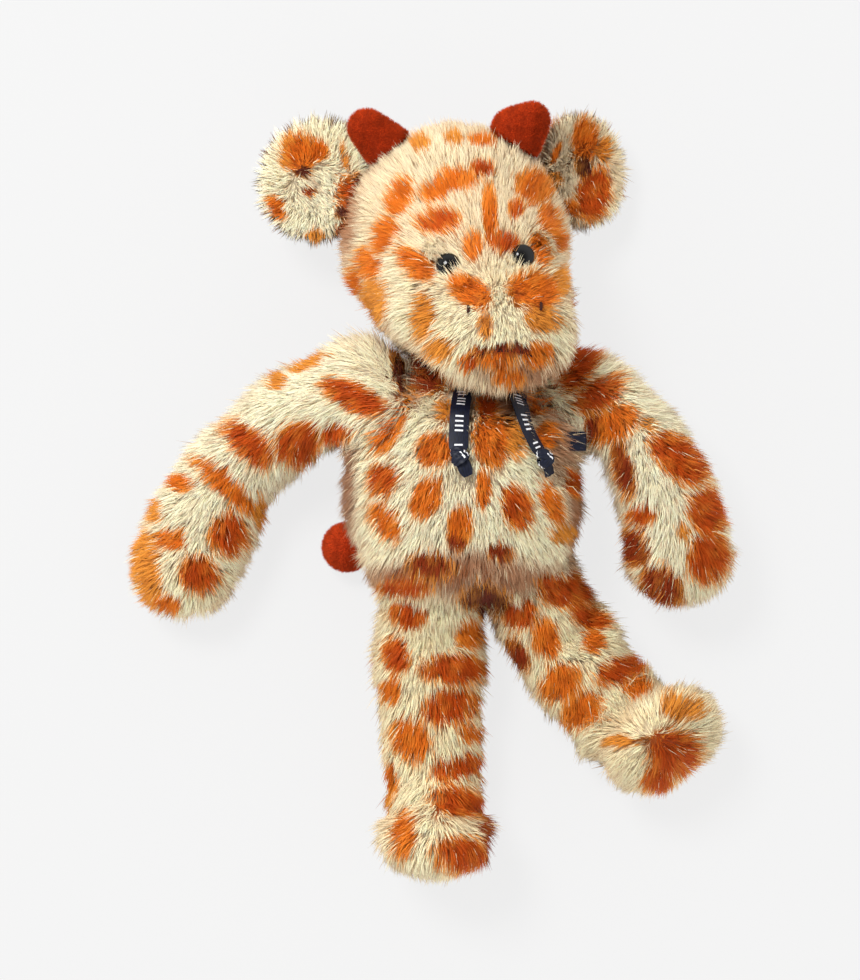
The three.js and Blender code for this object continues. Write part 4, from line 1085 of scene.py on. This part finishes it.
# Legs: straight tubes of fur fabric with an upturned foot sewn on, stuffed softly. The right
# foot points down and the left one lies out to the side, with its pile brushed from the toe.
# Painted shade: the darkest tone between the legs and in the pit of the left foot, the shade
# wash at the top of the right leg, and dark stripes on the inner edges of the right foot and left leg.
leg_spots = {
    "right": [
        (430, 710, 80, 190, 0, "honey"), (403, 583, 29, 12, -8, "rust"), (408, 615, 17, 13, -10, "rust"),
        (471, 636, 14, 11, 32, "orange"), (395, 657, 12, 17, 22, "rust"), (455, 671, 30, 14, 0, "rust"),
        (390, 693, 10, 12, 0, "orange"), (451, 710, 26, 16, 14, "rust"), (410, 743, 16, 21, 32, "orange"),
        (474, 737, 13, 7, 10, "orange"), (459, 771, 26, 10, 14, "rust"), (390, 783, 6, 12, 15, "orange"),
        (461, 804, 29, 12, -8, "rust"), (385, 802, 6, 7, 0, "gold"), (401, 838, 11, 21, 0, "orange"),
        (463, 857, 26, 16, 0, "rust"), (490, 835, 5, 30, 0, "dark"), (486, 606, 8, 14, 0, "plum"),
        (430, 592, 30, 6, 0, "shade"),
    ],
    "left": [
        (600, 690, 150, 110, -45, "honey"), (566, 592, 26, 15, -8, "rust"), (554, 573, 20, 12, 0, "rust"),
        (519, 615, 17, 14, -20, "rust"), (547, 641, 12, 18, 8, "orange"), (592, 618, 18, 10, -12, "rust"),
        (595, 642, 9, 11, 0, "orange"), (622, 671, 25, 11, 28, "rust"), (561, 686, 19, 16, 30, "orange"),
        (581, 712, 21, 14, 40, "orange"), (518, 655, 8, 16, 30, "dark"), (638, 686, 13, 7, 20, "orange"),
        (683, 705, 20, 11, -18, "gold"), (684, 708, 10, 5, -18, "orange"), (675, 755, 25, 22, 28, "rust"),
        (618, 742, 13, 6, 0, "gold"), (637, 742, 9, 4, 0, "plum"), (657, 784, 15, 10, 0, "rust"),
        (500, 604, 10, 14, 0, "plum"),
    ],
}
leg_flow = {
    "right": [
        (430, 600, 270), (430, 680, 270), (430, 760, 270), (385, 640, 250), (385, 720, 245),
        (478, 640, 295), (482, 720, 300), (435, 810, 268), (435, 850, 270), (395, 820, 258),
        (480, 820, 282), (390, 862, 256), (480, 862, 284), (435, 875, 270), (435, 790, 270),
    ],
    "left": [
        (545, 600, 300), (575, 650, 302), (605, 695, 305), (520, 620, 265), (545, 680, 262),
        (580, 735, 255), (600, 610, 335), (630, 655, 340), (660, 700, 80), (700, 705, 35), (715, 735, 0),
        (700, 770, 335), (665, 785, 280), (630, 770, 235), (610, 745, 200), (640, 705, 110),
        (620, 712, 140),
    ],
}
leg_swells = {
    "right": [
        (384, 868, 32, 0.005), (490, 866, 32, 0.005), (372, 815, 40, 0.0055), (498, 818, 44, 0.0055),
        (370, 590, 30, 0.003), (436, 884, 70, 0.003), (372, 795, 30, 0.003), (437, 800, 42, 0.011),
    ],
    "left": [
        (590, 765, 55, 0.0075), (535, 700, 50, 0.004), (720, 730, 50, 0.0065), (655, 798, 50, 0.003),
        (642, 650, 48, -0.0055), (685, 690, 45, 0.0025),
    ],
}
FOOT_LINE = -0.1
foot_lifts = {"right": 0.28, "left": 0.5}
for k, side in enumerate(("right", "left")):
    node = "leg_" + side
    coat = limb_coat(node, leg_spots[side], leg_flow[side], leg_swells[side], 60 + k)
    grow_pile(node + "_pile_thigh", 13000, 62 + k, **coat, where=in_front(above=FOOT_LINE))
    grow_pile(node + "_pile_foot", 15000 - 2000 * k, 64 + k, **coat, lift=foot_lifts[side],
              clearings=[(640, 740, 12, 0.7)], where=in_front(below=FOOT_LINE))
    grow_pile(node + "_pile_back", 5500, 66 + k, **coat, width=BACK_WIDTH, where=behind)

# Tail: a short cord of rolled velvet sewn into the back seam, with a ball of the same velvet at
# its end, gathered round its filling and sewn shut against the cord.
velvet_form("tail_cord_velvet", ["tail_cord"], "tail", "tail_cord")
tail_ball = velvet_form("tail_ball_velvet", ["tail_ball_skin", "tail_ball_stuffing"], "tail",
                        "tail_ball_skin")
velvet_nap("tail_ball_nap", "tail", tail_ball, 71, tone="#d8481c")

# Ribbon: navy satin 10 mm wide, its edges woven in, tied round the neck under the chin. Each end
# hangs on the chest to a simple knot, and a row of short white bars is woven along its middle.
RIBBON_WIDTH = 0.010
RIBBON_THICKNESS = 0.0005
RIBBON_CUP = 0.0004
ACROSS_STEPS = 9
BAR_PITCH = 0.0026
BAR_GROUP = 6
BAR_REACH = 0.0021
PLAIN_SIDE = 0.02
CREASE_ANGLE = 50
satin_material, tree, shader = new_material("woven_navy_satin")
weave = add_node(tree, "ShaderNodeUVMap", uv_map="Weave")
sides = add_node(tree, "ShaderNodeSeparateXYZ", {0: weave.outputs["UV"]})
bars = None
for axis, steps in (
    ("Y", (("MULTIPLY", 1 / BAR_PITCH), ("FRACT", 0), ("LESS_THAN", 0.36))),
    ("Y", (("MULTIPLY", 1 / BAR_PITCH / BAR_GROUP), ("FRACT", 0), ("LESS_THAN", 0.66))),
    ("X", (("ABSOLUTE", 0), ("LESS_THAN", BAR_REACH))),
):
    socket = sides.outputs[axis]
    for operation, value in steps:
        step = add_node(tree, "ShaderNodeMath", {0: socket}, operation=operation)
        step.inputs[1].default_value = value
        socket = step.outputs[0]
    if bars is not None:
        step = add_node(tree, "ShaderNodeMath", {0: socket, 1: bars}, operation="MULTIPLY")
        socket = step.outputs[0]
    bars = socket
# Satin floats lie along the ribbon; they are 0.2 mm apart and drawn at 0.5 mm so that they show.
laid = add_node(tree, "ShaderNodeMapping", {0: weave.outputs["UV"]}, Scale=(1, 0.15, 1))
floats = add_node(tree, "ShaderNodeTexNoise", {"Vector": laid.outputs[0]}, Scale=1 / 0.0005, Detail=2.0)
navy = add_node(tree, "ShaderNodeValToRGB", {0: floats.outputs["Fac"]})
for end, position, code in ((0, 0.3, "#05070f"), (1, 0.7, "#131a32")):
    navy.color_ramp.elements[end].color = linear(code)
    navy.color_ramp.elements[end].position = position
barred = add_node(tree, "ShaderNodeMixRGB", {0: bars, 1: navy.outputs["Color"]})
barred.inputs[2].default_value = linear("#eceef2")
tree.links.new(barred.outputs[0], shader.inputs["Base Color"])
relief = add_node(tree, "ShaderNodeBump", {"Height": floats.outputs["Fac"]},
                  Strength=0.4, Distance=0.0002)
tree.links.new(relief.outputs["Normal"], shader.inputs["Normal"])
shader.inputs["Roughness"].default_value = 0.48
shader.inputs["Specular IOR Level"].default_value = 0.25


def place_at(pixel, height):
    """The point at a height above the surface that a pixel shows."""
    scale = PIXEL * (lens.z - height) / LENS_DISTANCE
    return np.array([
        lens.x + (pixel[0] - LENS_PIXEL[0]) * scale, lens.y + (LENS_PIXEL[1] - pixel[1]) * scale, height,
    ])


def satin_strip(name, line, ups, widths, start=0.0, closed=False, plain=False, crumple=0.0):
    """A woven strip along a line, a little cupped, its weave laid out in metres in a UV map. A
    plain strip lies so far aside in that map that no bars are woven in it."""
    steps = np.roll(line, -1, 0) - np.roll(line, 1, 0) if closed else np.gradient(line, axis=0)
    ways = unit(steps)
    ups = unit(ups - ways * (ups * ways).sum(1, keepdims=True))
    asides = np.cross(ways, ups)
    across = np.linspace(-1, 1, ACROSS_STEPS)
    across = np.concatenate((across, across[::-1]))
    layer = np.repeat([1, -1], ACROSS_STEPS)
    rings = []
    for k, middle in enumerate(line):
        creases = crumple * np.sin(across * 7 + math.sin(k * 0.5) * 1.5)
        lift = RIBBON_THICKNESS / 2 * layer - RIBBON_CUP * across ** 2 + creases
        rings.append(middle + asides[k] * (across * widths[k] / 2)[:, None] + ups[k] * lift[:, None])
    strip = swept(name, rings, closed)
    run = start + np.concatenate(([0], np.cumsum(np.linalg.norm(np.diff(line, axis=0), axis=1))))
    corner = np.empty(len(strip.data.loops), int)
    strip.data.loops.foreach_get("vertex_index", corner)
    ring, point = np.divmod(corner, len(across))
    sideways = across[point] * np.asarray(widths)[ring] / 2 + (PLAIN_SIDE if plain else 0.0)
    weave_map = strip.data.uv_layers.new(name="Weave")
    weave_map.data.foreach_set("uv", np.column_stack((sideways, run[ring])).ravel())
    return strip


def round_about(steps):
    """Angles once round, from the bottom, as a column."""
    return np.linspace(-math.pi / 2, 1.5 * math.pi, steps, endpoint=False)[:, None]


def knot_turns(name, centre, way, up, reach, height):
    """The two turns of a simple knot, crossing over the ribbon that they hold."""
    way, up = unit(np.array([way, up]))
    aside = np.cross(way, up)
    angles = round_about(36)
    turns = []
    for tilt, along, size, width in ((24, 0.0011, 1.0, 0.0056), (-32, -0.0014, 0.9, 0.0048)):
        slant = aside * math.cos(math.radians(tilt)) + way * math.sin(math.radians(tilt))
        outward = slant * np.cos(angles) * reach + up * np.sin(angles) * height
        line = centre + way * along + outward * size
        ups = slant * np.cos(angles) * height + up * np.sin(angles) * reach
        widths = width * (1 - 0.22 * np.cos(2 * angles[:, 0]))
        turns.append(satin_strip(name, line, ups, widths, start=0.003, closed=True, crumple=0.00028))
    return turns


def finish_satin(name, parts, body, nodes):
    bpy.ops.object.select_all(action="DESELECT")
    for part in parts:
        part.select_set(True)
    bpy.context.view_layer.objects.active = parts[0]
    if len(parts) > 1:
        bpy.ops.object.join()
    piece = parts[0]
    piece.name = name
    bpy.ops.object.shade_smooth_by_angle(angle=math.radians(CREASE_ANGLE))
    piece.data.materials.append(satin_material)
    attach(piece, body)
    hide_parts(*nodes)


STRAP_SUNK = 0.0004
END_STEPS = 40
TIP_STEPS = 14
STRAP_STEPS = 16
BAND_STEPS = 120
ribbon_ways = {
    "right": ([(462, 396), (460, 410), (459, 428), (458.5, 444)], (459.5, 456), (468.5, 476), 0,
              (0.0048, 0.0062, 0.0071, 0.0073, 0.0068, 0.0048)),
    "left": ([(517.5, 396), (523, 411), (529, 428), (536, 444)], (545, 458), (550.5, 475.5), -14,
             (0.005, 0.0062, 0.0066)),
}
strap_starts = []
for side, (pixels, knot_pixel, tip_pixel, roll, tip_widths) in ribbon_ways.items():
    node = "ribbon_end_" + side
    surface = surface_of(node)
    hits, rises = [], []
    for pixel in pixels + [tip_pixel]:
        hit, rise = seen_at(surface, pixel)
        hits.append(np.array(hit - rise * STRAP_SUNK))
        rises.append(np.array(rise))
    back, way = unit(np.array([hits[0] - hits[1], hits[-1] - hits[-2]]))
    strap_starts.append((hits[0], rises[0], back))
    up = rises[-2]
    knot = place_at(knot_pixel, (hits[-2][2] * 0.6 + hits[-1][2] * 0.4) + 0.0022)

    # The woven length, from under the chin into its knot, turned a little about its own line.
    line, _ = smooth_line(hits[:-1] + [knot - way * 0.001 - up * 0.001], END_STEPS)
    shares = np.linspace(0, 1, END_STEPS)[:, None]
    turn = Matrix.Rotation(math.radians(roll), 3, Vector(way))
    ups = np.array([list(turn @ Vector(rises[0] * (1 - s) + up * s)) for s in shares[:, 0]])
    line = line + ups * (np.sin(shares * 9) * 0.0003)
    widths = RIBBON_WIDTH * (1 - 0.45 * ramp(shares[:, 0], 0.86, 1.0))
    strap = satin_strip(node, line, ups, widths, start=0.001)

    # The short tip below the knot, plain and crumpled.
    line, _ = smooth_line([knot - way * 0.001, knot * 0.35 + hits[-1] * 0.65 + up * 0.0008,
                           hits[-1] + up * 0.0003], TIP_STEPS)
    widths = np.interp(np.linspace(0, 1, TIP_STEPS), np.linspace(0, 1, len(tip_widths)), tip_widths)
    tip = satin_strip(node, line, np.tile(up, (TIP_STEPS, 1)), widths, plain=True, crumple=0.0002)
    finish_satin(node + "_satin", [strap, tip] + knot_turns(node, knot, way, up, 0.0046, 0.0027),
                 node, [node])

# The band goes round the neck, and two short straps lead from its knot to the ends.
BAND_REACH = 0.028
low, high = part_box("ribbon_band")
band_middle = np.array([low.x + BAND_REACH, high.y - RIBBON_WIDTH / 2, low.z + BAND_REACH])
angles = round_about(BAND_STEPS)
outward = np.array([1, 0, 0]) * np.cos(angles) + np.array([0, 0, 1]) * np.sin(angles)
band_line = band_middle + outward * (BAND_REACH - 0.0004 + 0.0003 * np.sin(angles * 5))
parts = [satin_strip("ribbon_band", band_line, outward, np.full(BAND_STEPS, RIBBON_WIDTH), closed=True)]
bow = place_at((476, 366), 0.0742)
parts += knot_turns("ribbon_band", bow, np.array([0, 1, 0]), np.array([0, 0, 1]), 0.0062, 0.0020)
for start, rise, back in strap_starts:
    line, _ = smooth_line([bow, start + back * 0.007 + rise * 0.0004, start - back * 0.0006], STRAP_STEPS)
    ups = np.tile(rise, (STRAP_STEPS, 1))
    parts.append(satin_strip("ribbon_band", line, ups, np.linspace(0.006, RIBBON_WIDTH, STRAP_STEPS)))
finish_satin("ribbon_band_satin", parts, "torso", ["ribbon_band"])

# Side label: a short loop of the same navy satin, folded double and caught in the side seam. It
# droops under the pile, and its fold alone stands clear.
LABEL_STEPS = 48
label_points = [
    (0.0500, 0.0640), (0.0555, 0.0652), (0.0608, 0.0644), (0.0624, 0.0632), (0.0606, 0.0632),
    (0.0552, 0.0640), (0.0500, 0.0628),
]
line, _ = smooth_line([(x, 0.0225, z) for x, z in label_points], LABEL_STEPS)
ups = np.cross(unit(np.gradient(line, axis=0)), np.array([0, 1, 0]))
label = satin_strip("side_label", line, ups, np.full(LABEL_STEPS, RIBBON_WIDTH), plain=True)
finish_satin("side_label_satin", [label], "torso", ["side_label"])

# Filling: white polyester fibre, teased and blown in. It is lumpy where it has balled up, and it
# stays closed in by the fabric.
filling_material, tree, shader, fibres = clouded_material(
    "polyester_fibrefill", "#dedcd6", "#f6f5f2", 0.002857, 0.9, detail=6.0)
relief = add_node(tree, "ShaderNodeBump", {"Height": fibres}, Strength=0.6, Distance=0.0006)
tree.links.new(relief.outputs["Normal"], shader.inputs["Normal"])
# Voxel, depth under the CAD form, width and height of the lumps, of small and of large fillings.
SMALL_FILLING = (0.0015, 0.0004, 0.004, 0.0005)
LARGE_FILLING = (0.004, 0.0034, 0.012, 0.0015)
for name, row in frame["nodes"].items():
    if not name.endswith("_stuffing"):
        continue
    small = name.startswith(("horn", "tail"))
    voxel, depth, lump_width, lump_height = SMALL_FILLING if small else LARGE_FILLING
    filling = sewn_form(name.replace("stuffing", "filling"), [name], voxel, depth)
    lumps = bpy.data.textures.new("teased_lumps", "CLOUDS")
    lumps.noise_scale = lump_width
    apply_modifier(filling, "DISPLACE", texture=lumps, mid_level=1, strength=lump_height)
    filling.data.materials.append(filling_material)
    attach(filling, row["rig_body"])
    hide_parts(name)
